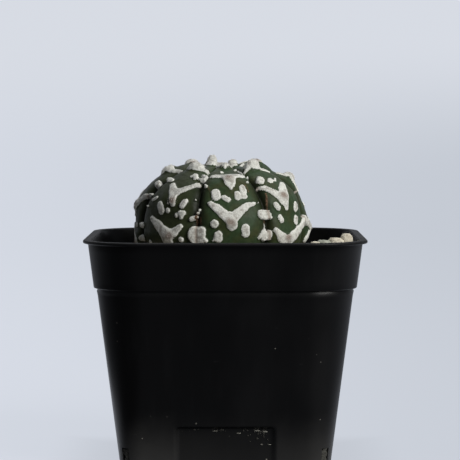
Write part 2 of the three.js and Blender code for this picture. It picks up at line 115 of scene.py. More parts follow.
@dataclass
class Surface:
    """Points in millimetres, the faces between them and named values on the points."""

    points: Array
    quads: Array = field(default_factory=lambda: np.zeros((0, 4), dtype=np.int32))
    triangles: Array = field(default_factory=lambda: np.zeros((0, 3), dtype=np.int32))
    values: dict[str, Array] = field(default_factory=dict)

    @staticmethod
    def grid(points: Array, close_rows: bool = False) -> Surface:
        """Joins a grid of points whose rows close on themselves.

        Args:
            points: Rows by columns by 3; columns run anticlockwise and rows run so that faces point out.
            close_rows: Whether the last row joins the first, as on a ring.

        Returns:
            The surface of quads.
        """
        rows, columns = points.shape[:2]
        index = np.arange(rows * columns, dtype=np.int32).reshape(rows, columns)
        beside = np.roll(index, -1, axis=1)
        above, above_beside = np.roll(index, -1, axis=0), np.roll(beside, -1, axis=0)
        quads = np.stack([index, beside, above_beside, above], axis=-1)
        if not close_rows:
            quads = quads[:-1]
        return Surface(points.reshape(-1, 3), quads.reshape(-1, 4))

    def capped(self, columns: int, first_pole: Array, last_pole: Array) -> Surface:
        """Closes a grid of open rows with a fan of triangles at each end.

        Args:
            columns: Number of points in a row.
            first_pole: The point that the first row is joined to.
            last_pole: The point that the last row is joined to.

        Returns:
            The closed surface.
        """
        count = len(self.points)
        ring = np.arange(columns, dtype=np.int32)
        beside = np.roll(ring, -1)
        first = np.stack([np.full(columns, count, dtype=np.int32), beside, ring], axis=-1)
        top = ring + count - columns
        last = np.stack([top, np.roll(top, -1), np.full(columns, count + 1, dtype=np.int32)], axis=-1)
        points = np.concatenate([self.points, [first_pole, last_pole]])
        return Surface(points, self.quads, np.concatenate([self.triangles, first, last]), self.values)

    def copies(self, moved: Array) -> Surface:
        """Repeats the faces over copies of the points.

        Args:
            moved: Copies by points by 3, in millimetres.

        Returns:
            One surface that holds all the copies.
        """
        steps = (np.arange(len(moved)) * len(self.points)).astype(np.int32)[:, None, None]
        quads = (self.quads[None] + steps).reshape(-1, 4)
        triangles = (self.triangles[None] + steps).reshape(-1, 3)
        return Surface(moved.reshape(-1, 3), quads, triangles)

    def build(self, name: str, material: bpy.types.Material, sharp: float | None = None) -> bpy.types.Object:
        """Makes the Blender object, in metres.

        Args:
            name: The piece's name.
            material: Its finish.
            sharp: Angle in degrees past which an edge stays sharp, or None for a smooth piece.

        Returns:
            The object, linked to the scene.
        """
        mesh = bpy.data.meshes.new(name)
        corners = np.concatenate([self.quads.ravel(), self.triangles.ravel()]).astype(np.int32)
        sizes = np.concatenate([np.full(len(self.quads), 4), np.full(len(self.triangles), 3)])
        starts = np.concatenate([[0], np.cumsum(sizes)[:-1]]).astype(np.int32)
        mesh.vertices.add(len(self.points))
        mesh.vertices.foreach_set("co", (self.points * MM).astype(np.float32).ravel())
        mesh.loops.add(len(corners))
        mesh.loops.foreach_set("vertex_index", corners)
        mesh.polygons.add(len(sizes))
        mesh.polygons.foreach_set("loop_start", starts)
        mesh.update(calc_edges=True)
        mesh.validate()
        for key, values in self.values.items():
            layer = mesh.attributes.new(key, "FLOAT", "POINT")
            layer.data.foreach_set("value", values.astype(np.float32))
        mesh.polygons.foreach_set("use_smooth", np.ones(len(mesh.polygons), dtype=bool))
        if sharp is not None:
            mesh.set_sharp_from_angle(angle=math.radians(sharp))
        mesh.materials.append(material)
        piece = bpy.data.objects.new(name, mesh)
        bpy.context.scene.collection.objects.link(piece)
        return piece


def icosphere() -> Surface:
    """Makes a ball of radius 1 with 80 faces: an icosahedron whose edges are halved and pushed out.

    The icosahedron's corners are (0, +-1, +-g) and its two cyclic shifts, with g the golden ratio,
    and its faces are the threes of corners that lie 2 apart.

    Returns:
        The ball.
    """
    golden = (1.0 + math.sqrt(5.0)) / 2.0
    signs = np.array([[1, 1], [1, -1], [-1, 1], [-1, -1]], dtype=float)
    flat = np.stack([np.zeros(4), signs[:, 0], signs[:, 1] * golden], axis=-1)
    corners = np.concatenate([flat, np.roll(flat, 1, axis=1), np.roll(flat, 2, axis=1)])
    gaps = np.linalg.norm(corners[:, None] - corners[None], axis=-1)
    near = np.isclose(gaps, 2.0)
    faces = [
        (a, b, c)
        for a in range(12)
        for b in range(a + 1, 12)
        for c in range(b + 1, 12)
        if near[a, b] and near[b, c] and near[a, c]
    ]
    points = [tuple(corner) for corner in corners]
    middles: dict[tuple[int, int], int] = {}

    def middle(a: int, b: int) -> int:
        """Finds the point halfway along an edge, or adds it.

        Args:
            a: Index of one end.
            b: Index of the other.

        Returns:
            The point's index.
        """
        key = (min(a, b), max(a, b))
        if key not in middles:
            middles[key] = len(points)
            points.append(tuple((np.array(points[a]) + np.array(points[b])) / 2.0))
        return middles[key]

    split = []
    for a, b, c in faces:
        if np.dot(np.cross(corners[b] - corners[a], corners[c] - corners[a]), corners[a]) < 0:
            b, c = c, b
        ab, bc, ca = middle(a, b), middle(b, c), middle(c, a)
        split += [(a, ab, ca), (b, bc, ab), (c, ca, bc), (ab, bc, ca)]
    ball = np.array(points)
    ball /= np.linalg.norm(ball, axis=1, keepdims=True)
    return Surface(ball, triangles=np.array(split, dtype=np.int32))


def random_turns(rng: np.random.Generator, count: int) -> Array:
    """Makes random rotation matrices from random unit quaternions.

    Args:
        rng: The source of the draws.
        count: How many to make.

    Returns:
        The matrices, count by 3 by 3.
    """
    quaternions = rng.normal(size=(4, count))
    w, x, y, z = quaternions / np.linalg.norm(quaternions, axis=0)
    rows = [
        [1 - 2 * (y * y + z * z), 2 * (x * y - z * w), 2 * (x * z + y * w)],
        [2 * (x * y + z * w), 1 - 2 * (x * x + z * z), 2 * (y * z - x * w)],
        [2 * (x * z - y * w), 2 * (y * z + x * w), 1 - 2 * (x * x + y * y)],
    ]
    return np.moveaxis(np.array(rows), -1, 0)


# Shader maths


class Wire:
    """A shader socket that takes part in Python expressions."""

    def __init__(self, shader: Shader, socket: bpy.types.NodeSocket) -> None:
        """Keeps the shader and the socket."""
        self.shader = shader
        self.socket = socket

    def _math(self, operation: str, first: Wire | float, second: Wire | float) -> Wire:
        """Adds one Math node."""
        return self.shader.node("ShaderNodeMath", {"operation": operation}, {0: first, 1: second})

    def __add__(self, other: Wire | float) -> Wire:
        """Returns self + other."""
        return self._math("ADD", self, other)

    __radd__ = __add__

    def __mul__(self, other: Wire | float) -> Wire:
        """Returns self * other."""
        return self._math("MULTIPLY", self, other)

    __rmul__ = __mul__

    def __sub__(self, other: Wire | float) -> Wire:
        """Returns self - other."""
        return self._math("SUBTRACT", self, other)

    def __rsub__(self, other: Wire | float) -> Wire:
        """Returns other - self."""
        return self._math("SUBTRACT", other, self)

    def __truediv__(self, other: Wire | float) -> Wire:
        """Returns self / other."""
        return self._math("DIVIDE", self, other)

    def __rtruediv__(self, other: Wire | float) -> Wire:
        """Returns other / self."""
        return self._math("DIVIDE", other, self)

    def __abs__(self) -> Wire:
        """Returns self without its sign."""
        return self._math("ABSOLUTE", self, 0.0)

    def least(self, other: Wire | float) -> Wire:
        """Returns the smaller of the two."""
        return self._math("MINIMUM", self, other)

    def most(self, other: Wire | float) -> Wire:
        """Returns the larger of the two."""
        return self._math("MAXIMUM", self, other)

    def ease(self, start: float, end: float) -> Wire:
        """Eases from 0 to 1 between two values of self, which may fall as well as rise.

        Args:
            start: The value of self at which the result is 0.
            end: The value at which it is 1.

        Returns:
            The eased mask.
        """
        settings = {"interpolation_type": "SMOOTHSTEP"}
        inputs = {"Value": self, "From Min": min(start, end), "From Max": max(start, end)}
        rise = self.shader.node("ShaderNodeMapRange", settings, inputs)
        return rise if start < end else 1.0 - rise

    def blend(self, first: Wire | Colour, second: Wire | Colour) -> Wire:
        """Returns the colour that runs from first, where self is 0, to second, where it is 1."""
        settings = {"data_type": "RGBA", "clamp_factor": True}
        return self.shader.node("ShaderNodeMix", settings, {0: self, 6: first, 7: second}, output=2)


class Shader:
    """The node tree of one material, written as expressions."""

    def __init__(self, name: str) -> None:
        """Starts a material with one Principled shader and its output.

        Args:
            name: The material's name.
        """
        self.material = bpy.data.materials.new(name)
        self.material.use_nodes = True
        self.tree = self.material.node_tree
        self.tree.nodes.clear()
        self.output = self.tree.nodes.new("ShaderNodeOutputMaterial")
        self.surface = self.tree.nodes.new("ShaderNodeBsdfPrincipled")
        self.tree.links.new(self.surface.outputs[0], self.output.inputs["Surface"])

    def node(
        self,
        kind: str,
        settings: dict[str, object] | None = None,
        inputs: dict[str | int, object] | None = None,
        output: str | int = 0,
    ) -> Wire:
        """Adds a node, makes its settings and then fills its sockets.

        Args:
            kind: The node's type.
            settings: Its properties, such as a Math node's operation.
            inputs: Wires, numbers or colours by socket name or index.
            output: The socket to return.

        Returns:
            The node's output as a wire.
        """
        node = self.tree.nodes.new(kind)
        for key, value in (settings or {}).items():
            setattr(node, key, value)
        for key, value in (inputs or {}).items():
            self.feed(node.inputs[key], value)
        return Wire(self, node.outputs[output])

    def feed(self, socket: bpy.types.NodeSocket, value: object) -> None:
        """Links a wire to a socket, or sets a constant on it.

        Args:
            socket: The socket to fill.
            value: A wire, a number, a colour or a vector.
        """
        if isinstance(value, Wire):
            self.tree.links.new(value.socket, socket)
        elif isinstance(value, tuple) and len(value) == 3 and socket.type == "RGBA":
            socket.default_value = (*value, 1.0)
        else:
            socket.default_value = value

    def value(self, name: str) -> Wire:
        """Reads a named value of the surface's points."""
        return self.node("ShaderNodeAttribute", {"attribute_name": name}, output="Fac")

    def place(self) -> Wire:
        """Returns Object coordinates, in metres."""
        return self.node("ShaderNodeTexCoord", output="Object")

    def along(self, axis: str) -> Wire:
        """Returns the Object coordinate along X, Y or Z, in metres."""
        return self.node("ShaderNodeSeparateXYZ", None, {0: self.place()}, output=axis)

    def mapped(self, scale: Triple, shift: float) -> Wire:
        """Returns Object coordinates scaled along each axis and moved."""
        inputs = {"Vector": self.place(), "Scale": scale, "Location": (shift,) * 3}
        return self.node("ShaderNodeMapping", None, inputs)

    def noise(
        self,
        size: float,
        detail: float = 2.0,
        stretch: Triple = (1.0, 1.0, 1.0),
        shift: float = 0.0,
    ) -> Wire:
        """Returns noise from 0 to 1 whose features are about size millimetres across.

        Args:
            size: Size of the largest features in millimetres.
            detail: Number of finer layers.
            stretch: How many times longer the features are along each axis.
            shift: Moves the pattern, to tell two noises apart.

        Returns:
            The noise.
        """
        scale = tuple(1.0 / (size * MM * longer) for longer in stretch)
        inputs = {"Vector": self.mapped(scale, shift), "Scale": 1.0, "Detail": detail}
        return self.node("ShaderNodeTexNoise", None, inputs)

    def specks(self, size: float, share: float, shift: float = 0.0) -> Wire:
        """Returns 1 on scattered round specks and 0 between them.

        Args:
            size: Spacing of the specks in millimetres.
            share: Share of the places that hold a speck, and its size against the spacing.
            shift: Moves the pattern.

        Returns:
            The specks' mask.
        """
        inputs = {"Vector": self.mapped((1.0 / (size * MM),) * 3, shift), "Scale": 1.0}
        away = self.node("ShaderNodeTexVoronoi", None, inputs)
        tint = self.node("ShaderNodeTexVoronoi", None, inputs, output="Color")
        pick = self.node("ShaderNodeSeparateColor", None, {0: tint}, output="Red")
        return away.ease(0.26, 0.12) * pick.ease(1.0 - share, 1.0 - share * 0.5)

    def bump(self, height: Wire, depth: float, after: Wire | None = None) -> Wire:
        """Tilts the normal as if the surface were raised.

        Args:
            height: How far it is raised, from 0 to 1.
            depth: What 1 stands for, in millimetres.
            after: A normal from another bump, to add to.

        Returns:
            The normal.
        """
        inputs = {"Height": height, "Distance": depth * MM, "Strength": 1.0}
        if after is not None:
            inputs["Normal"] = after
        return self.node("ShaderNodeBump", None, inputs)

    def finish(self, **sockets: object) -> bpy.types.Material:
        """Fills the shader's sockets.

        Args:
            sockets: Wires or constants by socket name, with underscores for spaces.

        Returns:
            The finished material.
        """
        for key, value in sockets.items():
            self.feed(self.surface.inputs[key.replace("_", " ")], value)
        return self.material


# Finishes


@dataclass(frozen=True)
class PotPlastic:
    """Black moulded plastic with a faint sheen, a few scuffs, and dust that is thickest at the foot.

    The foot's lightening is partly that dust and partly a painted reflection of a pale floor, and the
    thin dusty layer is kept off the left side as painted shade. Each pair is where a mask starts and
    where it is full, in metres.
    """

    base: Colour = (0.0010, 0.0010, 0.0011)
    dust: Colour = (0.012, 0.012, 0.013)
    foot_dust_and_reflection: Colour = (0.045, 0.044, 0.042)
    crumb: Colour = (0.22, 0.21, 0.18)
    roughness: float = 0.31
    film_off_shaded_left: Pair = (-0.040, 0.010)
    crumb_heights: Pair = (0.055, 0.040)
    foot_lightening_heights: Pair = (0.0225, 0.0020)
    dust_unevenness: float = 0.006
    beside_recess: Pair = (0.0140, 0.0170)
    near_corner: Pair = (0.0200, 0.0300)
    dimmer_right_side: Pair = (-0.015, 0.012)
    worn_rim: Pair = (0.0742, 0.0749)

    def material(self) -> bpy.types.Material:
        """Builds the plastic: a thin dusty layer, kept off the left as painted shade, streaks and scuffs over
        black, then dust with a painted reflection at the foot, and crumbs.

        Returns:
            The plastic's material.
        """
        s = Shader("pot_plastic")
        x, y, z = (s.along(axis) for axis in "XYZ")
        # Painted shade: the dusty layer stops short of the pot's left side, which stays darker.
        film_and_left_shade = s.noise(26.0, 3.0, (1.0, 1.0, 2.2)).ease(0.42, 0.75) * x.ease(*self.film_off_shaded_left)
        streaks = s.noise(3.0, 3.0, (1.0, 1.0, 9.0), 3.0).ease(0.52, 0.85)
        scuffed = s.noise(14.0, 1.0, shift=9.0).ease(0.56, 0.66)
        scuffs = s.noise(1.1, 2.0, (4.0, 4.0, 0.7), 7.0).ease(0.70, 0.78) * scuffed
        dirt = s.specks(1.3, 0.012, 2.0) * z.ease(*self.crumb_heights)
        thin = (film_and_left_shade * 0.16 + streaks * 0.10 + scuffs * 0.7).least(1.0)
        off_middle = abs(x).least(abs(y))
        # The foot's dust and painted reflection of a pale floor: less on the recesses and on the right, more
        # near the corners.
        share = off_middle.ease(*self.beside_recess) * 0.40 + off_middle.ease(*self.near_corner) * 0.20 + 0.25
        share = share * (1.0 - x.ease(*self.dimmer_right_side) * 0.30)
        level = z + (s.noise(9.0, 3.0, shift=5.0) - 0.5) * self.dust_unevenness
        settled_dust_and_reflection = level.ease(*self.foot_lightening_heights) * share
        plastic = settled_dust_and_reflection.blend(thin.blend(self.base, self.dust), self.foot_dust_and_reflection)
        worn = z.ease(*self.worn_rim)
        swell = s.bump(s.noise(30.0, 1.0, shift=4.0), 0.25)
        return s.finish(
            Base_Color=dirt.blend(plastic, self.crumb),
            Roughness=self.roughness + film_and_left_shade * 0.12 + scuffs * 0.2 + dirt * 0.4 + worn * 0.35,
            Normal=s.bump(s.noise(0.35, 2.0), 0.006, swell),
            Specular_IOR_Level=0.22,
        )


@dataclass(frozen=True)
class CactusSkin:
    """Waxy green skin, felt patches with crisp uneven edges, woolly areoles and corky scars.

    It reads the body's felt and cork values, which are distances in millimetres and negative inside
    a patch, and its areole and furrow values, which run from 0 to 1. Each pair is where a mask
    starts and where it is full, in metres.
    """

    green: Colour = (0.030, 0.053, 0.023)
    olive: Colour = (0.040, 0.046, 0.017)
    left_tone: Colour = (0.031, 0.038, 0.016)
    shade: Colour = (0.006, 0.008, 0.003)
    felt: Colour = (0.655, 0.66, 0.61)
    felt_grey: Colour = (0.32, 0.305, 0.27)
    wool: Colour = (0.20, 0.155, 0.125)
    seam: Colour = (0.25, 0.20, 0.16)
    cork: Colour = (0.060, 0.033, 0.018)
    cork_light: Colour = (0.17, 0.105, 0.065)
    left_tone_side: Pair = (-0.004, -0.017)
    lit_side: Pair = (0.010, 0.026)

    def material(self) -> bpy.types.Material:
        """Builds the skin: mottled green with dark flecks and painted shade in the furrows, then felt, wool
        and cork over it.

        Returns:
            The skin's material.
        """
        s = Shader("cactus_skin")
        felt = s.value("felt") + (s.noise(0.5, 2.0) - 0.5) * 0.35
        patch = felt.ease(0.0, -0.14)
        cork = (s.value("cork") + (s.noise(0.7, 2.0, shift=3.0) - 0.5) * 0.7).ease(0.0, -0.2)
        furrow = s.value("furrow")
        mottle = s.noise(5.0, 3.0, shift=1.0).ease(0.35, 0.70)
        fine = s.noise(0.9, 2.0, shift=5.0).ease(0.3, 0.75)
        skin = mottle.blend(self.green, self.olive)
        x = s.along("X")
        # The skin turns a duller, darker tone towards the left.
        skin = (x + (mottle - 0.5) * 0.004).ease(*self.left_tone_side).blend(skin, self.left_tone)
        # Small dark flecks of the skin's own colour.
        skin = (fine * 0.35).blend(skin, self.shade)
        # Painted shade in the furrows, weaker on the lit right side.
        skin = (furrow.ease(0.62, 1.0) * (1.0 - x.ease(*self.lit_side) * 0.55)).blend(skin, self.shade)
        fibres = s.noise(0.32, 3.0, (1.0, 1.0, 1.8), 2.0)
        soil = s.noise(1.7, 3.0, shift=8.0).ease(0.46, 0.66)
        within = felt.ease(-0.30, -0.85)
        grey = (fibres.ease(0.62, 0.36) * 0.45 + within * (0.12 + soil * 0.65)).least(1.0)
        cloth = grey.blend(self.felt, self.felt_grey)
        cloth = (s.value("areole") + (fibres - 0.5) * 0.4).ease(0.2, 1.0).blend(cloth, self.wool)
        cloth = (furrow.ease(0.92, 1.0) * 0.8).blend(cloth, self.seam)
        bark = s.noise(0.5, 3.0, shift=6.0).ease(0.40, 0.65).blend(self.cork, self.cork_light)
        colour = cork.blend(patch.blend(skin, cloth), bark)
        rough = 0.44 + patch * 0.52 + cork * 0.35 + fine * 0.08
        relief = s.bump(fibres * patch, 0.16, s.bump(s.noise(0.7, 2.0, shift=4.0), 0.035))
        return s.finish(Base_Color=colour, Roughness=rough.least(1.0), Normal=relief, Specular_IOR_Level=0.12)


@dataclass(frozen=True)
class Fleece:
    """Pale wool of the areoles."""

    tint: Colour = (0.74, 0.73, 0.71)
    deep: Colour = (0.44, 0.40, 0.36)

    def material(self) -> bpy.types.Material:
        """Builds the wool, pale with small and large stains.

        Returns:
            The wool's material.
        """
        s = Shader("areole_wool")
        small = s.noise(1.0, 2.0).ease(0.35, 0.65) * 0.45
        large = s.noise(4.0, 1.0, shift=6.0).ease(0.42, 0.66) * 0.65
        colour = (small + large).least(1.0).blend(self.tint, self.deep)
        return s.finish(Base_Color=colour, Roughness=0.9, Specular_IOR_Level=0.2)


@dataclass(frozen=True)
class Granule:
    """Rough porous mineral grain with pits, darker in its pits."""

    name: str
    tint: Colour
    deep: Colour

    def material(self) -> bpy.types.Material:
        """Builds the grain: patches of the two tints, with pits pressed in.

        Returns:
            The grain's material.
        """
        s = Shader(self.name)
        patches = s.noise(2.2, 3.0).ease(0.35, 0.7)
        pits = s.noise(0.35, 2.0, shift=2.0)
        colour = (patches * 0.7 + pits.ease(0.45, 0.30) * 0.5).least(1.0).blend(self.tint, self.deep)
        return s.finish(Base_Color=colour, Roughness=0.93, Normal=s.bump(pits, 0.18), Specular_IOR_Level=0.25)


@dataclass(frozen=True)
class Mix:
    """Damp dark crumbly potting mix with pale bits in it."""

    dark: Colour = (0.018, 0.015, 0.011)
    brown: Colour = (0.062, 0.050, 0.036)
    pale: Colour = (0.42, 0.38, 0.30)

    def material(self, name: str) -> bpy.types.Material:
        """Builds the mix: dark and brown crumbs with pale specks between them.

        Args:
            name: The material's name.

        Returns:
            The mix's material.
        """
        s = Shader(name)
        crumbs = s.noise(1.6, 4.0)
        colour = crumbs.ease(0.40, 0.62).blend(self.dark, self.brown)
        colour = s.specks(2.2, 0.30, 3.0).blend(colour, self.pale)
        relief = s.bump(crumbs, 0.9)
        return s.finish(Base_Color=colour, Roughness=0.95, Normal=relief, Specular_IOR_Level=0.25)


@dataclass(frozen=True)
class StudioPaper:
    """Pale paper that gives its own light, bright behind the pot and dim before it.

    The black pot mirrors the dim part, which has a painted soft shade on the left and paler wings far
    out at both sides. A faint shadow is painted around the pot's foot. Each pair is where a mask starts
    and where it is full, in metres, and for the fan in metres across for each metre from its middle.
    """

    left: Colour = (0.635, 0.670, 0.740)
    right: Colour = (0.535, 0.570, 0.630)
    upper: Colour = (0.665, 0.695, 0.755)
    unlit: Colour = (0.05, 0.05, 0.055)
    dark: Colour = (0.0, 0.0, 0.0)
    fan_middle: float = -0.722
    fan_spread: float = 0.11
    fan_edge: Pair = (0.22, 0.12)
    upper_heights: Pair = (0.03, 0.20)
    bright_from: Pair = (-0.045, 0.004)
    shade_sides: tuple[Pair, Pair] = ((-0.42, -0.25), (-0.035, -0.065))
    shade_depths: tuple[Pair, Pair] = ((-0.26, -0.14), (0.16, 0.04))
    wings: tuple[Pair, Pair] = ((-0.36, -0.60), (0.13, 0.40))
    front_rise: Pair = (-0.30, 0.10)
    foot_shadow: Pair = (0.062, 0.036)
    under_pot: Pair = (0.034, 0.031)

    def material(self) -> bpy.types.Material:
        """Builds the paper; its tint, a painted falloff of light from left to right, runs across with
        x / (y - fan_middle), like a fan.

        Returns:
            The paper's material.
        """
        s = Shader("studio_paper")
        x, y, z = (s.along(axis) for axis in "XYZ")
        across = x / (y - self.fan_middle).most(0.2)
        cloud = (s.noise(900.0, 1.0) - 0.5) * 0.25
        # Painted falloff of light from left to right and up the wall.
        fan = (across / (2.0 * self.fan_spread) + 0.5 + cloud).ease(-0.1, 1.1)
        tint = z.ease(*self.upper_heights).blend(fan.blend(self.left, self.right), self.upper)
        behind = y.ease(*self.bright_from) * abs(across).ease(*self.fan_edge)
        # Painted soft shade of the pot on the paper, to its left.
        shade = x.ease(*self.shade_sides[0]) * x.ease(*self.shade_sides[1])
        shade = shade * y.ease(*self.shade_depths[0]) * y.ease(*self.shade_depths[1])
        wings = (x.ease(*self.wings[0]) + x.ease(*self.wings[1])) * 0.35
        before = (y.ease(*self.front_rise) * 0.22 + 0.07) * (1.0 - shade * 0.8) + wings
        # A faint shadow painted around and under the pot's foot.
        out = abs(x).most(abs(y))
        shadow = out.ease(*self.foot_shadow) * 0.10 + out.ease(*self.under_pot) * 0.70
        glow = behind.most(before) * (1.0 - shadow)
        return s.finish(
            Base_Color=self.unlit,
            Roughness=0.95,
            Specular_IOR_Level=0.0,
            Emission_Color=glow.blend(self.dark, tint),
            Emission_Strength=1.0,
        )


# Pot


@dataclass(frozen=True)
class PotSizes:
    """Sizes of the square pot in millimetres: the solid's, with finer edges and a leaning recess."""

    height: float = 75.0
    lip_half: float = 45.0
    lip_thickness: float = 0.65
    lip_rounding: float = 0.4
    collar_depth: float = 15.1
    collar_step: float = 0.93
    step_slope: float = 0.7
    foot_half: float = 33.0
    draft: float = 0.1288
    flat_half: float = 25.5
    wall: float = 1.2
    skirt_wall: float = 1.5
    floor_raised: float = 2.2
    floor_thickness: float = 1.4
    hole_radius: float = 3.5
    hole_ring: float = 17.0
    slit_width: float = 3.0
    slit_height: float = 9.5
    slit_reach: Pair = (33.0, 50.0)
    recess_half: float = 15.3
    recess_height: float = 16.6
    recess_depth: float = 1.1
    recess_slope: float = 1.0
    recess_top_slope: float = 0.8
    recess_top_drop: float = 0.25
    recess_frame: float = 1.3
    recess_lean: float = 0.06

    def body_half(self, z: float) -> float:
        """Returns the tapered body's half width at a height."""
        return self.foot_half + self.draft * z

    def collar_half(self, z: float) -> float:
        """Returns the collar's half width at a height."""
        return self.body_half(z) + self.collar_step

    def recess_at(self, z: Array | float) -> Array:
        """Returns the recess's depth at a height; it is deeper at the top, as its face is steeper."""
        return self.recess_depth + self.recess_lean * (z - self.recess_height / 2.0)

    @property
    def collar_bottom(self) -> float:
        """Returns the height of the collar's lower edge."""
        return self.height - self.collar_depth

    @property
    def body_top(self) -> float:
        """Returns the height where the step under the collar starts."""
        return self.collar_bottom - self.step_slope

    def inside_half(self, z: Array | float) -> Array:
        """Returns the half width of the pot's inside at a height."""
        step = smooth(self.body_top, self.collar_bottom + self.wall / 2, z)
        return self.body_half(z) - self.wall + self.collar_step * step


@dataclass
class SquarePot:
    """The moulded pot: lip, collar, tapered walls with recesses, raised floor, drain holes and slits."""

    sizes: PotSizes = field(default_factory=PotSizes)
    corner_steps: int = 20
    hole_steps: int = 28
    cut_from: float = -2.0
    floor_cut_over: float = 4.0
    sharp_edge: float = 38.0
    off_flats: float = 99.0
    groove: tuple[Pair, ...] = ((-0.02, -1.0), (-0.22, -0.55), (-0.22, -0.16), (0.05, -0.05))
    shoulder: tuple[Pair, ...] = ((-0.20, -0.03), (-0.05, 0.06))

    def across_steps(self) -> Array:
        """Places columns along one flat side, close together at the recess's two sloping edges.

        Returns:
            Millimetres from the side's middle.
        """
        s = self.sizes
        edge = np.linspace(s.recess_half - 1.4, s.recess_half + 2.0, 12)
        within, beyond = np.linspace(0.0, edge[0], 8)[:-1], np.linspace(edge[-1], s.flat_half, 5)[1:]
        side = np.concatenate([within, edge, beyond])
        return np.concatenate([-side[:0:-1], side])

    def outline(self, half: Array) -> tuple[Array, Array, Array, Array]:
        """Carries a rounded square around: four flats of fixed length joined by quarter circles.

        Args:
            half: The square's half width, one a row.

        Returns:
            X and Y of rows by columns, with the place along the side, which at a corner is far off
            every flat, and the side's number.
        """
        s = self.sizes
        flat = self.across_steps()
        turn = (np.arange(1, self.corner_steps) / self.corner_steps) * math.pi / 2.0
        columns_x, columns_y, places, sides = [], [], [], []
        radius = half[:, None] - s.flat_half
        flat_x, flat_y = np.tile(flat, (len(half), 1)), np.tile(-half[:, None], (1, len(flat)))
        x = np.concatenate([flat_x, s.flat_half + radius * np.sin(turn)], axis=1)
        y = np.concatenate([flat_y, -s.flat_half - radius * np.cos(turn)], axis=1)
        for side in range(4):
            angle = side * math.pi / 2.0
            columns_x.append(x * math.cos(angle) - y * math.sin(angle))
            columns_y.append(x * math.sin(angle) + y * math.cos(angle))
            places.append(np.concatenate([flat, np.full(len(turn), self.off_flats)]))
            sides.append(np.full(len(flat) + len(turn), side))
        return (
            np.concatenate(columns_x, axis=1),
            np.concatenate(columns_y, axis=1),
            np.concatenate(places),
            np.concatenate(sides),
        )

    def profile(self) -> tuple[Array, Array, Array]:
        """Draws the wall's section from under the floor, down the skirt, up outside, over and down inside.

        The lip is three quarter circles of its rounding. Under the collar the body has a shallow
        groove, whose rows are (out, up) from the body at the collar's lower edge, and the shoulder
        that leads on from it has rows (out, up) from the collar there.

        Returns:
            Half width, height, and how far outside a recess's slope the row's surface lies.
        """
        s = self.sizes
        floor_top = s.floor_raised + s.floor_thickness
        under_lip = s.height - s.lip_thickness - s.lip_rounding
        mouth = s.collar_half(s.height) - s.wall
        inner_step = s.collar_bottom + s.wall / 2
        r = s.lip_rounding
        corner = np.linspace(0.0, math.pi / 2.0, 5)
        lip_low = [(s.lip_half - r + r * math.sin(a), under_lip + r - r * math.cos(a)) for a in corner]
        lip_high = [(s.lip_half - r + r * math.cos(a), s.height - r + r * math.sin(a)) for a in corner]
        lip_in = [(mouth + r - r * math.sin(a), s.height - r + r * math.cos(a)) for a in corner]
        edge = s.collar_bottom
        low, near_top = np.arange(0.6, 15.2, 1.2), np.arange(15.4, 18.8, 0.2)
        fine = np.concatenate([low, near_top, np.arange(19.2, s.body_top - 0.3, 2.4)])
        collar = [edge + 0.25, *np.arange(edge + 2.0, under_lip - 0.6, 2.4)]
        outside = [(s.body_half(z), z, 0.0) for z in [0.0, *fine]]
        outside += [(s.body_half(edge) + out, edge + up, 0.0) for out, up in self.groove]
        outside += [(s.collar_half(edge) + out, edge + up, 0.0) for out, up in self.shoulder]
        outside += [(s.collar_half(z), z, 0.0) for z in collar]
        outside += [
            (s.collar_half(under_lip - 0.5), under_lip - 0.5, 0.0),
            (s.collar_half(under_lip) + 0.12, under_lip - 0.12, 0.0),
            (s.collar_half(under_lip) + 0.5, under_lip, 0.0),
        ]
        outside += [(half, z, 0.0) for half, z in (*lip_low, *lip_high, *lip_in)]
        inside_heights = [*np.arange(s.height - 2.0, inner_step + 0.3, -2.4), inner_step, s.body_top]
        inside_heights += [z for z in sorted(fine, reverse=True) if floor_top + 0.5 < z < s.body_top - 1.0]
        inside = [(float(s.inside_half(z)), z, s.recess_frame) for z in [*inside_heights, floor_top]]
        start = [
            (s.body_half(s.floor_raised) - s.skirt_wall, s.floor_raised, s.recess_frame),
            (s.body_half(0.0) - s.skirt_wall, 0.0, s.recess_frame),
        ]
        rows = np.array(start + outside + inside)
        return rows[:, 0], rows[:, 1], rows[:, 2]

    def shell(self) -> Surface:
        """Lofts the section around the rounded square and presses the recesses into its four sides.

        A recess moves the wall inward by depth * a * b, where a eases down past its sides and b past
        its top, each over the width of its slope. The depth falls with height down to the foot.
        Behind it the inside moves by as much.

        Returns:
            The closed wall and floor, without their openings.
        """
        s = self.sizes
        half, z, frame = self.profile()
        x, y, place, side = self.outline(half)
        height = np.broadcast_to(z[:, None], x.shape)
        reach = s.recess_half + frame[:, None]
        top = s.recess_height + frame[:, None] - s.recess_top_drop
        pressed = smooth(-s.recess_slope, s.recess_slope, reach - np.abs(place))
        pressed = pressed * (1.0 - smooth(-s.recess_top_slope, s.recess_top_slope, height - top))
        angle = side * math.pi / 2.0
        depth = s.recess_at(height) * pressed
        x = x - depth * np.sin(angle)
        y = y + depth * np.cos(angle)
        floor_top = s.floor_raised + s.floor_thickness
        under, over = np.array([0.0, 0.0, s.floor_raised]), np.array([0.0, 0.0, floor_top])
        return Surface.grid(np.stack([x, y, height], axis=-1)).capped(x.shape[1], under, over)

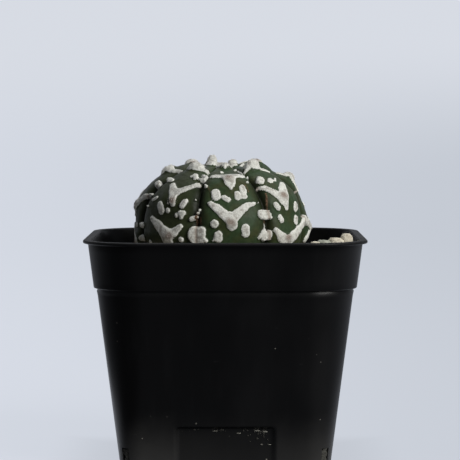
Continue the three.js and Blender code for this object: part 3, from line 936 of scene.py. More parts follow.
    def cutters(self) -> Surface:
        """Builds the closed blocks that cut the corner slits and the round drain holes.

        Returns:
            The four slits' boxes and the five holes' cylinders.
        """
        s = self.sizes
        near, far = s.slit_reach
        w = s.slit_width / 2.0
        slit = np.array([[near, -w], [far, -w], [far, w], [near, w]])
        quarters = np.arange(4) * math.pi / 2.0
        turn = np.arange(self.hole_steps) * 2.0 * math.pi / self.hole_steps
        circle = s.hole_radius * np.stack([np.cos(turn), np.sin(turn)], axis=-1)
        centres = [(0.0, 0.0), *[(s.hole_ring * math.cos(a), s.hole_ring * math.sin(a)) for a in quarters]]
        outlines = [self.turned(slit, a + math.pi / 4.0) for a in quarters]
        outlines += [circle + np.array(centre) for centre in centres]
        tops = [s.slit_height] * 4 + [s.floor_raised + self.floor_cut_over] * 5
        points, quads, triangles, count = [], [], [], 0
        for outline, top in zip(outlines, tops):
            n = len(outline)
            levels = (self.cut_from, top)
            rows = np.stack([np.column_stack([outline, np.full(n, level)]) for level in levels])
            first, last = (np.array([*outline.mean(axis=0), level]) for level in levels)
            block = Surface.grid(rows).capped(n, first, last)
            points.append(block.points)
            quads.append(block.quads + count)
            triangles.append(block.triangles + count)
            count += len(block.points)
        return Surface(np.concatenate(points), np.concatenate(quads), np.concatenate(triangles))

    @staticmethod
    def turned(points: Array, angle: float) -> Array:
        """Turns points of a plane about its origin."""
        c, s = math.cos(angle), math.sin(angle)
        return points @ np.array([[c, s], [-s, c]])

    def build(self) -> bpy.types.Object:
        """Makes the pot, cuts its openings and rides it on the part.

        Returns:
            The pot.
        """
        material = PotPlastic().material()
        pot = self.shell().build("square_pot", material)
        cutter = self.cutters().build("drain_cutters", material)
        cut = pot.modifiers.new("drain", "BOOLEAN")
        cut.operation = "DIFFERENCE"
        cut.solver = "EXACT"
        cut.object = cutter
        bpy.context.view_layer.update()
        mesh = bpy.data.meshes.new_from_object(pot.evaluated_get(bpy.context.evaluated_depsgraph_get()))
        pot.modifiers.clear()
        pot.data = mesh
        bpy.data.objects.remove(cutter)
        mesh.polygons.foreach_set("use_smooth", np.ones(len(mesh.polygons), dtype=bool))
        mesh.set_sharp_from_angle(angle=math.radians(self.sharp_edge))
        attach(pot, "root")
        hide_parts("pot")
        return pot


# Cactus


@dataclass(frozen=True)
class Stroke:
    """A tapered round-ended stroke of felt or cork on one rib, in millimetres across and down it."""

    across: float
    run: float
    radius: float
    to_across: float
    to_run: float
    to_radius: float


def dab(across: float, run: float, radius: float) -> Stroke:
    """Returns a round dab."""
    return Stroke(across, run, radius, across, run + 0.01, radius)


def bar(across: float, run: float, to_across: float, to_run: float, radius: float) -> Stroke:
    """Returns a stroke of one width."""
    return Stroke(across, run, radius, to_across, to_run, radius)


@dataclass(frozen=True)
class Areole:
    """A woolly cushion on a rib, in millimetres across and down it, wider than long."""

    across: float
    run: float
    height: float
    radius: float
    widen: float

    def away(self, points: Array, middle: Array, side: Array) -> Array:
        """Returns the distance of points from the cushion's middle, 1 on its rim.

        Args:
            points: Points of the bare body.
            middle: The cushion's middle on it.
            side: The direction across the rib, in which the cushion is wider.

        Returns:
            One value a point.
        """
        offset = points - middle
        offset = offset - (1.0 - 1.0 / self.widen) * (offset @ side)[:, None] * side
        return np.linalg.norm(offset, axis=1) / self.radius


FRONT_RIB = (
    Stroke(-6.4, 31.5, 0.95, -4.4, 32.9, 1.35),
    Stroke(-4.4, 32.9, 1.35, -1.2, 35.8, 1.75),
    Stroke(8.0, 31.5, 0.6, 5.2, 32.4, 1.1),
    Stroke(5.2, 32.4, 1.1, 1.4, 35.5, 1.7),
    Stroke(0.1, 36.2, 1.9, 0.4, 38.5, 1.8),
    dab(9.5, 31.1, 0.4),
    Stroke(-5.6, 20.4, 0.5, -3.4, 19.9, 1.3),
    Stroke(-3.4, 19.9, 1.3, -0.8, 19.9, 2.4),
    Stroke(5.1, 20.4, 0.6, 3.3, 19.9, 1.3),
    Stroke(3.3, 19.9, 1.3, 0.8, 19.9, 2.4),
    dab(0.2, 19.6, 2.1),
    Stroke(0.0, 21.0, 2.5, 0.3, 24.0, 1.75),
    Stroke(0.3, 24.0, 1.75, 0.5, 26.3, 0.5),
    dab(6.5, 20.2, 0.5),
    dab(-1.5, 13.7, 0.7),
    dab(3.1, 12.4, 0.6),
    bar(3.9, 13.8, 4.9, 17.4, 0.35),
    dab(-7.5, 25.0, 0.75),
    bar(-4.5, 27.7, -4.5, 28.9, 1.55),
    bar(-1.9, 29.3, -0.7, 30.2, 0.95),
    bar(4.1, 25.8, 4.6, 27.2, 1.15),
    bar(2.4, 28.2, 2.5, 29.4, 1.1),
    bar(3.8, 28.9, 4.9, 29.1, 0.95),
    dab(6.1, 23.3, 0.55),
    bar(4.7, 39.5, 4.8, 41.1, 1.45),
    dab(-5.1, 38.1, 1.4),
    bar(-3.9, 41.6, -3.9, 42.7, 1.45),
    dab(-5.5, 43.4, 0.5),
    bar(9.6, 34.4, 12.4, 34.4, 0.7),
    bar(9.8, 35.3, 12.4, 35.3, 0.95),
    bar(10.2, 36.2, 12.4, 36.3, 0.65),
    bar(9.5, 42.8, 11.0, 40.7, 0.6),
    bar(11.3, 41.2, 11.2, 43.0, 0.95),
)
RIGHT_RIB = (
    Stroke(8.5, 38.9, 1.1, 12.3, 37.3, 1.3),
    Stroke(-8.8, 25.5, 0.5, -6.7, 26.2, 1.1),
    Stroke(-6.7, 26.2, 1.1, -4.6, 28.2, 1.35),
    Stroke(-4.6, 28.2, 1.35, -2.6, 30.4, 1.8),
    Stroke(2.3, 24.7, 1.2, -0.5, 27.8, 1.8),
    Stroke(-0.5, 27.8, 1.8, -1.6, 30.2, 1.95),
    Stroke(-1.8, 30.4, 2.0, -1.2, 33.4, 0.9),
    Stroke(-6.4, 40.3, 0.9, -4.4, 42.5, 1.5),
    Stroke(-4.4, 42.5, 1.5, -2.2, 44.1, 2.0),
    Stroke(8.5, 38.9, 1.1, 4.0, 40.9, 1.5),
    Stroke(4.0, 40.9, 1.5, -0.3, 43.3, 2.0),
    Stroke(-5.8, 15.4, 0.5, -3.4, 14.8, 0.9),
    Stroke(-3.4, 14.8, 0.9, -1.4, 14.6, 1.5),
    Stroke(-1.0, 14.6, 1.6, 1.6, 15.8, 1.2),
    Stroke(1.6, 15.8, 1.2, 2.8, 17.8, 0.5),
    bar(-4.6, 21.1, -6.4, 22.8, 1.3),
    bar(-0.9, 21.8, -2.4, 23.0, 0.95),
    bar(1.8, 21.5, 0.3, 22.7, 0.5),
    bar(-5.5, 32.3, -4.9, 33.3, 1.05),
    bar(-4.5, 36.3, -3.9, 37.3, 1.05),
    Stroke(3.9, 32.6, 1.2, 3.7, 33.6, 1.35),
    bar(3.5, 37.0, 3.2, 37.9, 1.2),
    dab(10.3, 27.8, 0.55),
    bar(-11.2, 34.3, -8.9, 34.3, 0.65),
    bar(-11.2, 35.2, -8.5, 35.3, 0.9),
    bar(-11.2, 36.1, -8.0, 36.3, 0.65),
    bar(-10.6, 38.3, -10.5, 40.3, 0.24),
    bar(-10.5, 41.3, -10.7, 42.9, 0.8),
    bar(-8.6, 41.1, -8.9, 43.0, 0.95),
)
LEFT_RIB = (
    Stroke(-1.6, 24.7, 1.1, 0.6, 27.4, 1.6),
    Stroke(8.0, 24.0, 0.8, 4.9, 26.0, 1.1),
    Stroke(4.9, 26.0, 1.1, 1.6, 28.1, 1.7),
    Stroke(1.2, 28.0, 1.8, 2.4, 32.0, 1.0),
    Stroke(-6.8, 36.9, 1.0, -3.2, 38.9, 1.5),
    Stroke(-3.2, 38.9, 1.5, 0.2, 41.3, 2.0),
    Stroke(5.7, 39.1, 0.95, 3.6, 40.9, 1.3),
    Stroke(3.6, 40.9, 1.3, 1.2, 41.9, 1.9),
    Stroke(0.7, 42.0, 2.2, 1.2, 44.5, 1.8),
    Stroke(-3.0, 32.5, 1.35, -2.2, 34.1, 1.5),
    dab(0.6, 34.1, 0.95),
    bar(6.4, 31.1, 5.7, 32.3, 1.1),
    dab(4.1, 35.5, 0.8),
    bar(5.3, 34.7, 6.6, 34.8, 0.85),
    bar(5.9, 35.3, 5.7, 36.1, 0.85),
    dab(5.9, 43.2, 1.0),
    dab(-7.4, 44.5, 0.8),
    bar(-6.3, 21.7, -3.3, 22.3, 0.75),
    bar(-7.6, 30.8, -5.8, 29.9, 0.65),
    dab(-10.0, 32.9, 0.5),
    Stroke(-4.6, 12.8, 0.7, -1.2, 14.6, 1.3),
    Stroke(-1.2, 14.6, 1.3, 2.6, 14.8, 1.5),
    Stroke(2.6, 14.8, 1.3, 5.9, 15.6, 0.6),
    dab(-3.7, 16.8, 0.6),
    dab(2.9, 19.9, 0.5),
    bar(3.8, 18.9, 5.1, 20.6, 0.9),
    bar(8.4, 20.2, 6.8, 18.9, 0.75),
    bar(8.4, 21.4, 6.9, 21.0, 0.6),
    dab(9.4, 29.9, 0.35),
    dab(11.6, 33.6, 0.5),
    dab(11.1, 34.6, 0.65),
    Stroke(9.2, 36.6, 0.85, 10.8, 35.9, 0.75),
    Stroke(10.3, 40.5, 1.75, 10.8, 43.7, 1.75),
    Stroke(12.9, 40.4, 1.55, 13.1, 41.2, 1.2),
    Stroke(12.9, 43.0, 1.3, 14.1, 43.6, 0.8),
    bar(9.4, 41.4, 9.6, 42.8, 1.2),
    bar(12.1, 40.5, 12.1, 43.6, 1.4),
)
FAR_LEFT_RIB = (
    Stroke(0.0, 17.8, 2.0, 4.4, 17.0, 1.0),
    Stroke(4.4, 17.0, 1.0, 6.0, 15.4, 0.6),
    Stroke(0.0, 17.8, 2.0, -4.4, 15.2, 0.8),
    Stroke(0.4, 18.2, 2.0, 0.8, 19.8, 1.0),
    bar(10.9, 21.7, 12.6, 22.4, 0.95),
    bar(7.0, 24.1, 8.8, 24.8, 1.25),
    Stroke(0.0, 33.0, 1.8, 5.0, 30.2, 1.1),
    Stroke(5.0, 30.2, 1.1, 9.6, 28.8, 0.6),
    Stroke(0.0, 33.0, 1.8, -3.6, 30.6, 1.3),
    Stroke(-3.6, 30.6, 1.3, -7.2, 27.9, 0.7),
    Stroke(0.0, 33.2, 1.9, 0.4, 35.9, 1.0),
    bar(6.9, 39.4, 9.0, 39.4, 1.0),
    bar(5.6, 43.9, 8.8, 43.6, 1.25),
    bar(-4.6, 35.2, -4.2, 36.3, 1.1),
    bar(-2.6, 39.9, -2.2, 40.9, 1.1),
    dab(2.6, 39.5, 0.9),
    Stroke(0.0, 45.1, 1.8, -6.0, 41.1, 0.8),
)
FAR_RIGHT_RIB = (
    Stroke(-3.6, 18.6, 0.7, -2.6, 21.6, 1.7),
    Stroke(-2.6, 21.6, 1.7, -2.9, 24.8, 1.8),
    Stroke(-2.9, 24.8, 1.8, -4.2, 27.4, 0.8),
    Stroke(-1.5, 22.4, 1.8, 3.6, 20.2, 0.8),
    bar(4.2, 35.4, 3.2, 35.7, 0.9),
    Stroke(-1.8, 40.2, 1.6, -3.6, 38.9, 1.2),
    Stroke(-1.6, 40.3, 1.8, 2.4, 38.2, 1.3),
    Stroke(2.4, 38.2, 1.3, 6.2, 36.0, 0.7),
    Stroke(-1.6, 40.6, 1.8, -1.4, 42.6, 1.1),
    Stroke(2.4, 43.1, 1.6, -3.8, 45.0, 1.4),
    Stroke(-5.6, 42.2, 1.0, -6.6, 44.4, 1.9),
    Stroke(-9.0, 38.5, 1.3, -4.6, 39.2, 1.5),
    bar(2.8, 29.0, 3.2, 30.2, 1.0),
    bar(6.2, 30.8, 6.4, 32.0, 0.95),
    dab(-1.6, 33.1, 1.1),
    dab(6.9, 44.1, 1.1),
)
HAND_LAID = {
    0: (FRONT_RIB, 18.0),
    1: (RIGHT_RIB, 14.0),
    2: (FAR_RIGHT_RIB, 20.0),
    6: (FAR_LEFT_RIB, 16.0),
    7: (LEFT_RIB, 14.0),
}
CORK_MARKS = {
    0: (
        bar(5.7, 25.7, 6.6, 27.9, 0.22),
        bar(3.4, 22.9, 5.6, 25.1, 0.18),
        bar(-6.8, 25.1, -6.4, 27.2, 0.25),
        bar(-9.9, 36.1, -9.8, 38.1, 0.45),
    ),
    1: (
        bar(-7.5, 28.0, -8.1, 30.6, 0.3),
        bar(-8.1, 30.6, -8.6, 33.9, 0.3),
        bar(-10.4, 37.0, -10.3, 38.2, 0.28),
    ),
    7: (bar(10.9, 35.2, 10.9, 38.3, 0.4),),
}
CROWN_CUSHIONS = {
    (5, 0): (0.4, 4.4, 3.4, 1.75, 1.0),
    (6, 0): (0.0, 4.0, 1.2, 1.6, 1.0),
    (7, 0): (0.0, 5.4, 1.2, 1.6, 1.0),
    (0, 0): (0.0, 3.5, 0.7, 1.4, 1.0),
    (4, 0): (0.0, 4.0, 0.7, 1.5, 1.0),
    (4, 1): (0.0, 11.0, 0.6, 1.8, 1.1),
    (3, 0): (0.5, 6.0, 1.4, 1.5, 1.0),
    (2, 0): (0.0, 3.5, 2.0, 1.6, 1.0),
    (1, 0): (-0.6, 5.2, 0.7, 1.4, 1.0),
    (1, 1): (-2.0, 14.2, 2.7, 2.0, 1.25),
    (2, 1): (-1.0, 11.0, 0.4, 1.6, 1.2),
    (7, 1): (0.8, 14.3, 1.5, 2.0, 1.3),
    (6, 1): (0.0, 9.5, 0.5, 1.8, 1.1),
    (6, 2): (0.0, 17.6, 1.2, 2.5, 1.1),
    (2, 3): (-2.0, 40.4, 0.2, 1.4, 1.0),
}


@dataclass(frozen=True)
class CactusForm:
    """Sizes of the cactus body in millimetres, close to the solid's, with heights from the pot's rim.

    Ribs are numbered to the right from the one in front. Each of the tuples has one entry a rib:
    how far the rib falls in between its areoles, the (height, place, length) of its swelling, the
    lean in degrees of the furrow on its right, the places of its areoles down from the crown, the
    heights of their wool, and how many degrees they stand off its crest.
    """

    axis_x: float = -1.0
    rim_height: float = 75.0
    body_radius: float = 28.3
    equator_height: float = 2.0
    crown_rise: float = 20.8
    crown_squareness: float = 2.8
    base_drop: float = 15.0
    base_squareness: float = 2.2
    dimple_depth: float = 1.2
    dimple_radius: float = 4.5
    neck_radius: float = 6.5
    root_tip_radius: float = 1.0
    root_length: float = 30.0
    ribs: int = 8
    first_rib: float = 5.5
    rib_swell: float = 1.0
    furrow_depth: float = 1.7
    furrow_sharpness: float = 9.0
    chin_swell: float = 0.8
    chin_length: float = 5.0
    relief_ends: float = 51.5
    hollows: tuple[float, ...] = (0.0, 0.0, 0.9, 0.2, 0.0, 0.3, -0.4, 0.0)
    shoulder_swells: tuple[tuple[float, float, float], ...] = (
        (-1.0, 14.0, 4.5),
        (0.0, 14.0, 4.5),
        (1.6, 11.5, 6.0),
        (0.3, 9.0, 4.0),
        (0.0, 14.0, 4.5),
        (0.0, 14.0, 4.5),
        (0.9, 11.5, 3.5),
        (0.0, 14.0, 4.5),
    )
    furrow_leans: tuple[float, ...] = (4.5, 0.0, 3.0, -2.0, 2.0, -3.0, -10.5, 0.0)
    areoles: tuple[tuple[float, ...], ...] = (
        (3.5, 9.5, 22.2, 37.6),
        (6.0, 14.4, 29.5, 42.6),
        (4.5, 11.0, 22.3, 38.3),
        (6.5, 16.0, 30.5, 44.5),
        (4.0, 11.0, 24.0, 38.0),
        (4.2, 13.0, 29.5, 44.0),
        (4.0, 9.5, 17.8, 33.2, 45.5),
        (6.0, 14.5, 31.0, 42.1),
    )
    tuft_heights: tuple[tuple[float, ...], ...] = (
        (1.3, 1.1, 0.7, 0.3),
        (1.9, 2.3, 0.4, 0.3),
        (1.6, 1.8, 1.2, 0.4),
        (2.0, 2.0, 0.7, 0.3),
        (1.8, 2.0, 1.0, 0.3),
        (3.3, 2.0, 0.6, 0.3),
        (1.8, 2.0, 1.3, 0.6, 0.3),
        (1.8, 2.1, 0.4, 0.3),
    )
    sidesteps: tuple[float, ...] = (0.0, -4.0, -5.0, 1.5, -1.0, 0.0, 0.0, 4.0)

    def crest(self) -> tuple[Array, Array, Array]:
        """Traces the crest line from the crown's middle to the root's tip.

        Above the equator it is a superellipse, |r / R|^n + |h / H|^n = 1, with a dimple of
        depth * exp(-(r / width)^2) taken off; below it another one; then the root's taper.

        Returns:
            Distance run, radius and height of points along the line.
        """
        angle = np.radians(np.arange(0.0, 180.01, 0.25))
        upper = angle <= math.pi / 2.0
        power = np.where(upper, 2.0 / self.crown_squareness, 2.0 / self.base_squareness)
        radius = self.body_radius * np.abs(np.sin(angle)) ** power
        rise = np.abs(np.cos(angle)) ** power
        height = self.equator_height + np.where(upper, self.crown_rise * rise, -self.base_drop * rise)
        height -= np.where(upper, self.dimple_depth * np.exp(-((radius / self.dimple_radius) ** 2)), 0.0)
        kept = upper | (radius >= self.neck_radius)
        radius, height = radius[kept], height[kept]
        down = np.arange(1, 41) / 40.0
        root = self.root_tip_radius + (radius[-1] - self.root_tip_radius) * (1.0 - down) ** 1.4
        height = np.concatenate([height, height[-1] - self.root_length * down])
        radius = np.concatenate([radius, root])
        run = np.concatenate([[0.0], np.cumsum(np.hypot(np.diff(radius), np.diff(height)))])
        return run, radius, height

    def furrow_turn(self, rib: int, run: Array) -> Array:
        """Returns where the furrow on a rib's right lies, in ribs from its crest, at a distance run."""
        lean = self.furrow_leans[rib % self.ribs] * self.ribs / 360.0
        return 0.5 + lean * smooth(22.0, 38.0, run)

    def radius_at(self, run: Array | float) -> Array:
        """Returns the crest's radius at a distance down from the crown's middle."""
        line, radius, _ = self.crest()
        return np.interp(run, line, radius)

    def half_rib(self, run: Array | float) -> Array:
        """Returns the distance from a rib's crest to its furrow."""
        return self.radius_at(run) * math.pi / self.ribs


@dataclass
class FeltPattern:
    """Lays felt and areoles on the ribs: as listed on those in front, by a seeded rule elsewhere."""

    form: CactusForm
    seed: int = 31
    felted_height: float = 1.2
    first_chevron: float = 7.0
    softness: float = 0.22
    felt: list[list[Stroke]] = field(default_factory=list)
    areoles: list[list[Areole]] = field(default_factory=list)

    def __post_init__(self) -> None:
        """Works out every rib's marks."""
        form = self.form
        self.rng = np.random.default_rng(self.seed)
        for rib in range(form.ribs):
            by_hand, laid_from = HAND_LAID.get(rib, ((), form.relief_ends))
            strokes = list(by_hand)
            cushions = []
            for row, run in enumerate(form.areoles[rib]):
                across = math.radians(form.sidesteps[rib]) * float(form.radius_at(run))
                cushion = self.cushion(across, run, rib, row)
                cushions.append(cushion)
                if cushion.height > self.felted_height or row == 0:
                    x, wide = cushion.across, cushion.radius * (cushion.widen - 1.0)
                    strokes.append(bar(x - wide, cushion.run, x + wide, cushion.run, cushion.radius * 1.1))
                if self.first_chevron < run < laid_from:
                    above = form.areoles[rib][row - 1] if row else None
                    strokes += self.chevron(across, run)
                    strokes += self.flecks(across, run, above)
            if not by_hand:
                strokes += self.furrow_dabs()
            self.felt.append(strokes)
            self.areoles.append(cushions)

    def cushion(self, across: float, run: float, rib: int, row: int) -> Areole:
        """Sizes an areole's wool cushion, wider the taller it is, unless it is listed.

        Args:
            across: Its place across the rib.
            run: Its place down from the crown's middle.
            rib: The rib's number.
            row: The areole's number on the rib, from the crown.

        Returns:
            The cushion.
        """
        if (rib, row) in CROWN_CUSHIONS:
            return Areole(*CROWN_CUSHIONS[rib, row])
        height = self.form.tuft_heights[rib][row]
        shoulder = float(smooth(8.0, 13.0, run))
        radius = 1.2 + 0.3 * min(height, 2.2) + 0.3 * shoulder
        return Areole(across, run, height, radius, 1.0 + 0.35 * shoulder)

    def chevron(self, across: float, run: float) -> list[Stroke]:
        """Draws one V: two bent arms that rise to the sides and a short stem.

        Args:
            across: Place of its middle across the rib.
            run: Place of its middle down from the crown's middle.

        Returns:
            Its five strokes.
        """
        share = float(self.form.radius_at(run)) / self.form.body_radius
        size = math.sqrt(share)
        strokes = []
        for side in (-1.0, 1.0):
            reach = side * 7.2 * share * self.rng.uniform(0.88, 1.12)
            rise = 5.2 * size * self.rng.uniform(0.85, 1.15)
            elbow = (across + reach * 0.5, run - rise * self.rng.uniform(0.42, 0.58))
            strokes.append(Stroke(across, run, 1.8 * size, *elbow, 1.25 * size))
            strokes.append(Stroke(*elbow, 1.25 * size, across + reach, run - rise, 0.7 * size))
        drop = self.rng.uniform(2.0, 3.2) * size
        foot = across + self.rng.uniform(-0.3, 0.5)
        strokes.append(Stroke(across, run, 1.9 * size, foot, run + drop, size))
        return strokes

    def flecks(self, across: float, run: float, above: float | None) -> list[Stroke]:
        """Scatters flecks between a V and the one above it, up to four on each side.

        Args:
            across: Place of the V across the rib.
            run: Place of the V down from the crown's middle.
            above: Place of the V above it, or None where there is none.

        Returns:
            The flecks.
        """
        if above is None:
            return []
        middle = (run + above) / 2.0
        gap = run - above
        share = float(self.form.radius_at(middle)) / self.form.body_radius
        strokes = []
        for side in (-1.0, 1.0):
            for out, down in ((0.30, -0.05), (0.66, 0.08), (0.55, -0.24), (0.30, 0.20)):
                if self.rng.random() < 0.22 or gap < 6.0:
                    continue
                radius = self.rng.uniform(0.6, 1.25) * math.sqrt(share)
                x = across + side * out * 8.6 * share + self.rng.uniform(-0.5, 0.5)
                y = middle + down * gap + self.rng.uniform(-0.5, 0.5)
                lean = self.rng.uniform(-0.6, 0.6)
                strokes.append(bar(x - lean / 2, y - radius * 0.4, x + lean / 2, y + radius * 0.6, radius))
        return strokes

    def furrow_dabs(self) -> list[Stroke]:
        """Lays two lobed patches that bridge the furrow on a rib's right, as old patches do.

        Returns:
            Their dabs, four a patch.
        """
        strokes = []
        for run in (35.5 + self.rng.uniform(-1.0, 1.0), 42.5 + self.rng.uniform(-1.0, 1.0)):
            x = float(self.form.half_rib(run))
            for dx, dy in ((-1.3, -0.6), (1.2, -0.4), (-1.1, 1.2), (1.3, 1.3)):
                strokes.append(dab(x + dx, run + dy, self.rng.uniform(1.0, 1.5)))
        return strokes

    def with_neighbours(self, laid: list[list[Stroke]], rib: int) -> list[tuple[Stroke, int]]:
        """Gathers a rib's strokes and those of the ribs beside it.

        Args:
            laid: Strokes by rib.
            rib: The rib's number.

        Returns:
            Strokes, each with the side that it comes from: 0, 1 for the right or -1 for the left.
        """
        count = self.form.ribs
        rows = [(stroke, 0) for stroke in laid[rib]]
        rows += [(stroke, 1) for stroke in laid[(rib + 1) % count]]
        rows += [(stroke, -1) for stroke in laid[(rib - 1) % count]]
        return rows

    def distance(self, laid: list[list[Stroke]], rib: int, across: Array, run: Array) -> Array:
        """Returns the distance to a rib's strokes, negative inside them.

        For a stroke from a to b it is |p - a - t (b - a)| - (ra + t (rb - ra)), with t the place of p
        along the stroke held between 0 and 1. Strokes are joined with -k log(sum(exp(-d / k))).

        Args:
            laid: Strokes by rib.
            rib: The rib's number.
            across: Distance across the rib from its crest, right positive.
            run: Distance down from the crown's middle.

        Returns:
            Millimetres, one a point.
        """
        shift = 2.0 * self.form.half_rib(run)
        total = np.zeros_like(across)
        for stroke, side in self.with_neighbours(laid, rib):
            x, y = across - side * shift - stroke.across, run - stroke.run
            dx, dy = stroke.to_across - stroke.across, stroke.to_run - stroke.run
            t = np.clip((x * dx + y * dy) / (dx * dx + dy * dy + 1e-9), 0.0, 1.0)
            away = np.hypot(x - t * dx, y - t * dy) - (stroke.radius + t * (stroke.to_radius - stroke.radius))
            total += np.exp(-np.clip(away, -6.0, 12.0) / self.softness)
        return -self.softness * np.log(total + 1e-30)


@dataclass
class StarCactus:
    """The ribbed body with its felt, furrows, scars and woolly areoles, and the root under the grit."""

    form: CactusForm = field(default_factory=CactusForm)
    columns_per_rib: int = 68
    row_step: float = 0.35
    root_step: float = 3.0
    felt_raise: float = 0.38
    hairs_each: int = 150
    hair_length: Pair = (0.25, 0.55)
    hair_radius: float = 0.045
    hair_spread: float = 0.38
    hair_bend: float = 0.35
    hair_seed: int = 77

    def __post_init__(self) -> None:
        """Lays the pattern."""
        self.pattern = FeltPattern(self.form)
        self.line = self.form.crest()

    def crest_at(self, run: Array) -> tuple[Array, Array, Array, Array]:
        """Reads the crest line at a distance run.

        Args:
            run: Distance down from the crown's middle.

        Returns:
            Its radius, its height, and the parts of its normal that point out and up.
        """
        line, radius, height = self.line
        slope_out, slope_up = np.gradient(radius, line), np.gradient(height, line)
        size = np.hypot(slope_out, slope_up)
        at = [np.interp(run, line, v) for v in (radius, height, -slope_up / size, slope_out / size)]
        return at[0], at[1], at[2], at[3]

    def seat(self, rib: int, areole: Areole) -> tuple[Array, Array]:
        """Finds an areole's seat on the bare body, with the axis through x = y = 0.

        Args:
            rib: The rib's number.
            areole: The areole.

        Returns:
            Its middle and the direction across its rib.
        """
        f = self.form
        radius, height, _, _ = (float(v) for v in self.crest_at(areole.run))
        azimuth = math.radians(f.first_rib - 90.0 + 360.0 / f.ribs * rib) + areole.across / max(radius, 1.0)
        c, s = math.cos(azimuth), math.sin(azimuth)
        return np.array([radius * c, radius * s, height]), np.array([-s, c, 0.0])

    def rib_at(self, turn: Array, run: Array) -> Array:
        """Finds the rib that each point lies on, which a leaning furrow can take from its neighbour.

        Args:
            turn: Place around the body, in ribs.
            run: Distance down from the crown's middle.

        Returns:
            Ribs counted to the right, on past the last one.
        """
        form = self.form
        rib = np.round(turn).astype(int)
        for k in range(-1, form.ribs + 1):
            right = k + form.furrow_turn(k, run)
            rib[(rib == k) & (turn > right)] = k + 1
            rib[(rib == k + 1) & (turn <= right)] = k
        return rib

    def skin(self, turn: Array, run: Array) -> tuple[Array, dict[str, Array]]:
        """Works out the surface: the crest line turned about the axis, moved along its normal by relief.

        The relief is felt + wool + chins - furrow. The furrow is swell * e^2 + depth * e^n with e the
        share of the way from crest to furrow, a chin is an exp bell at each areole, and wool is
        height * exp(-(d / radius)^4), with lumps that are worked out on the raised wool.

        Args:
            turn: Place around the body, in ribs.
            run: Distance down from the crown's middle, in millimetres.

        Returns:
            Points in millimetres and the values that the skin's finish reads.
        """
        f = self.form
        radius, height, out, up = self.crest_at(run)
        rib = self.rib_at(turn, run)
        offset = turn - rib
        across = offset * 2.0 * radius * math.pi / f.ribs
        rib %= f.ribs
        azimuth = np.radians(f.first_rib - 90.0) + turn * 2.0 * math.pi / f.ribs
        c, s = np.cos(azimuth), np.sin(azimuth)
        bare = np.stack([radius * c, radius * s, height], axis=-1)
        edge, felt, cork, wool, areole, chin, swells = (np.zeros_like(run) for _ in range(7))
        marks = [list(CORK_MARKS.get(k, ())) for k in range(f.ribs)]
        for k in range(f.ribs):
            m = rib == k
            x, y = across[m], run[m]
            reach = np.where(x > 0.0, f.furrow_turn(k, y), 1.0 - f.furrow_turn(k - 1, y))
            edge[m] = np.clip(np.abs(offset[m]) / reach, 0.0, 1.0)
            felt[m] = self.pattern.distance(self.pattern.felt, k, x, y)
            cork[m] = self.pattern.distance(marks, k, x, y)
            bells = [np.exp(-(((y - a.run) / f.chin_length) ** 2)) for a in self.pattern.areoles[k]]
            bell = np.max(bells, axis=0)
            chin[m] = f.chin_swell * (bell - 0.6) - f.hollows[k] * (1.0 - bell)
            swell, at, length = f.shoulder_swells[k]
            swells[m] = swell * np.exp(-(((y - at) / length) ** 4))
            for a in self.pattern.areoles[k]:
                away = a.away(bare, *self.seat(k, a))
                wool = np.maximum(wool, a.height * np.exp(-(away**4.0)))
                brown = float(smooth(1.4, 0.5, a.height))
                areole = np.maximum(areole, (0.15 + 0.75 * brown) * np.exp(-((away / 0.95) ** 2.0)))
        felt += 0.07 * Ripples(1.7, 5).at(bare) + 0.10 * Ripples(0.85, 6).at(bare)
        shown = smooth(f.relief_ends, f.relief_ends - 3.0, run)
        grooved = smooth(1.0, 12.0, run) * (1.0 - smooth(f.relief_ends - 3.0, f.relief_ends + 8.0, run))
        grooved *= 0.6 + 0.4 * smooth(14.0, 24.0, run)
        furrow = f.rib_swell * edge**2 + f.furrow_depth * edge**f.furrow_sharpness
        cloth = smooth(0.05, -0.38, felt)
        lifted = bare + wool[:, None] * np.stack([out * c, out * s, up], axis=-1)
        lumps = 0.12 * Ripples(1.3, 8).at(lifted) + 0.07 * Ripples(0.7, 9).at(lifted)
        relief = self.felt_raise * cloth * (1.0 + lumps) + wool * (1.0 + 0.5 * lumps)
        relief += smooth(0.15, -0.15, cork) * (0.14 + 0.12 * Ripples(0.9, 12).at(bare))
        relief += 0.14 * Ripples(9.0, 10).at(bare) + 0.03 * Ripples(2.2, 11).at(bare)
        relief += (chin * smooth(4.0, 14.0, run) + swells * smooth(1.0, 6.0, run)) * (1.0 - edge**2)
        moved = relief * shown - furrow * grooved * (1.0 - 0.8 * cloth * shown)
        far, high = radius + moved * out, f.rim_height + height + moved * up
        points = np.stack([f.axis_x + far * c, far * s, high], axis=-1)
        return points, {"felt": felt, "cork": cork, "areole": areole * shown, "furrow": edge * grooved}

    def body(self) -> Surface:
        """Builds the body from rings that run from the root's tip up to the crown.

        Returns:
            The closed body with the values that its finish reads.
        """
        f = self.form
        line, _, height = self.line
        shown = np.arange(self.row_step, f.relief_ends + 1.5, self.row_step)
        buried = np.arange(shown[-1] + 1.0, line[-1] - 0.5, self.root_step)
        runs = np.concatenate([buried[::-1], shown[::-1]])
        columns = self.columns_per_rib * f.ribs
        turn, run = np.meshgrid(np.arange(columns) / self.columns_per_rib - 0.5, runs)
        points, values = self.skin(turn.ravel(), run.ravel())
        grid = Surface.grid(points.reshape(*turn.shape, 3))
        tip = np.array([f.axis_x, 0.0, f.rim_height + height[-1] - f.root_tip_radius])
        crown = np.array([f.axis_x, 0.0, f.rim_height + height[0]])
        surface = grid.capped(columns, tip, crown)
        for key, value in values.items():
            surface.values[key] = np.concatenate([value, [value[:columns].mean(), value[-columns:].mean()]])
        return surface

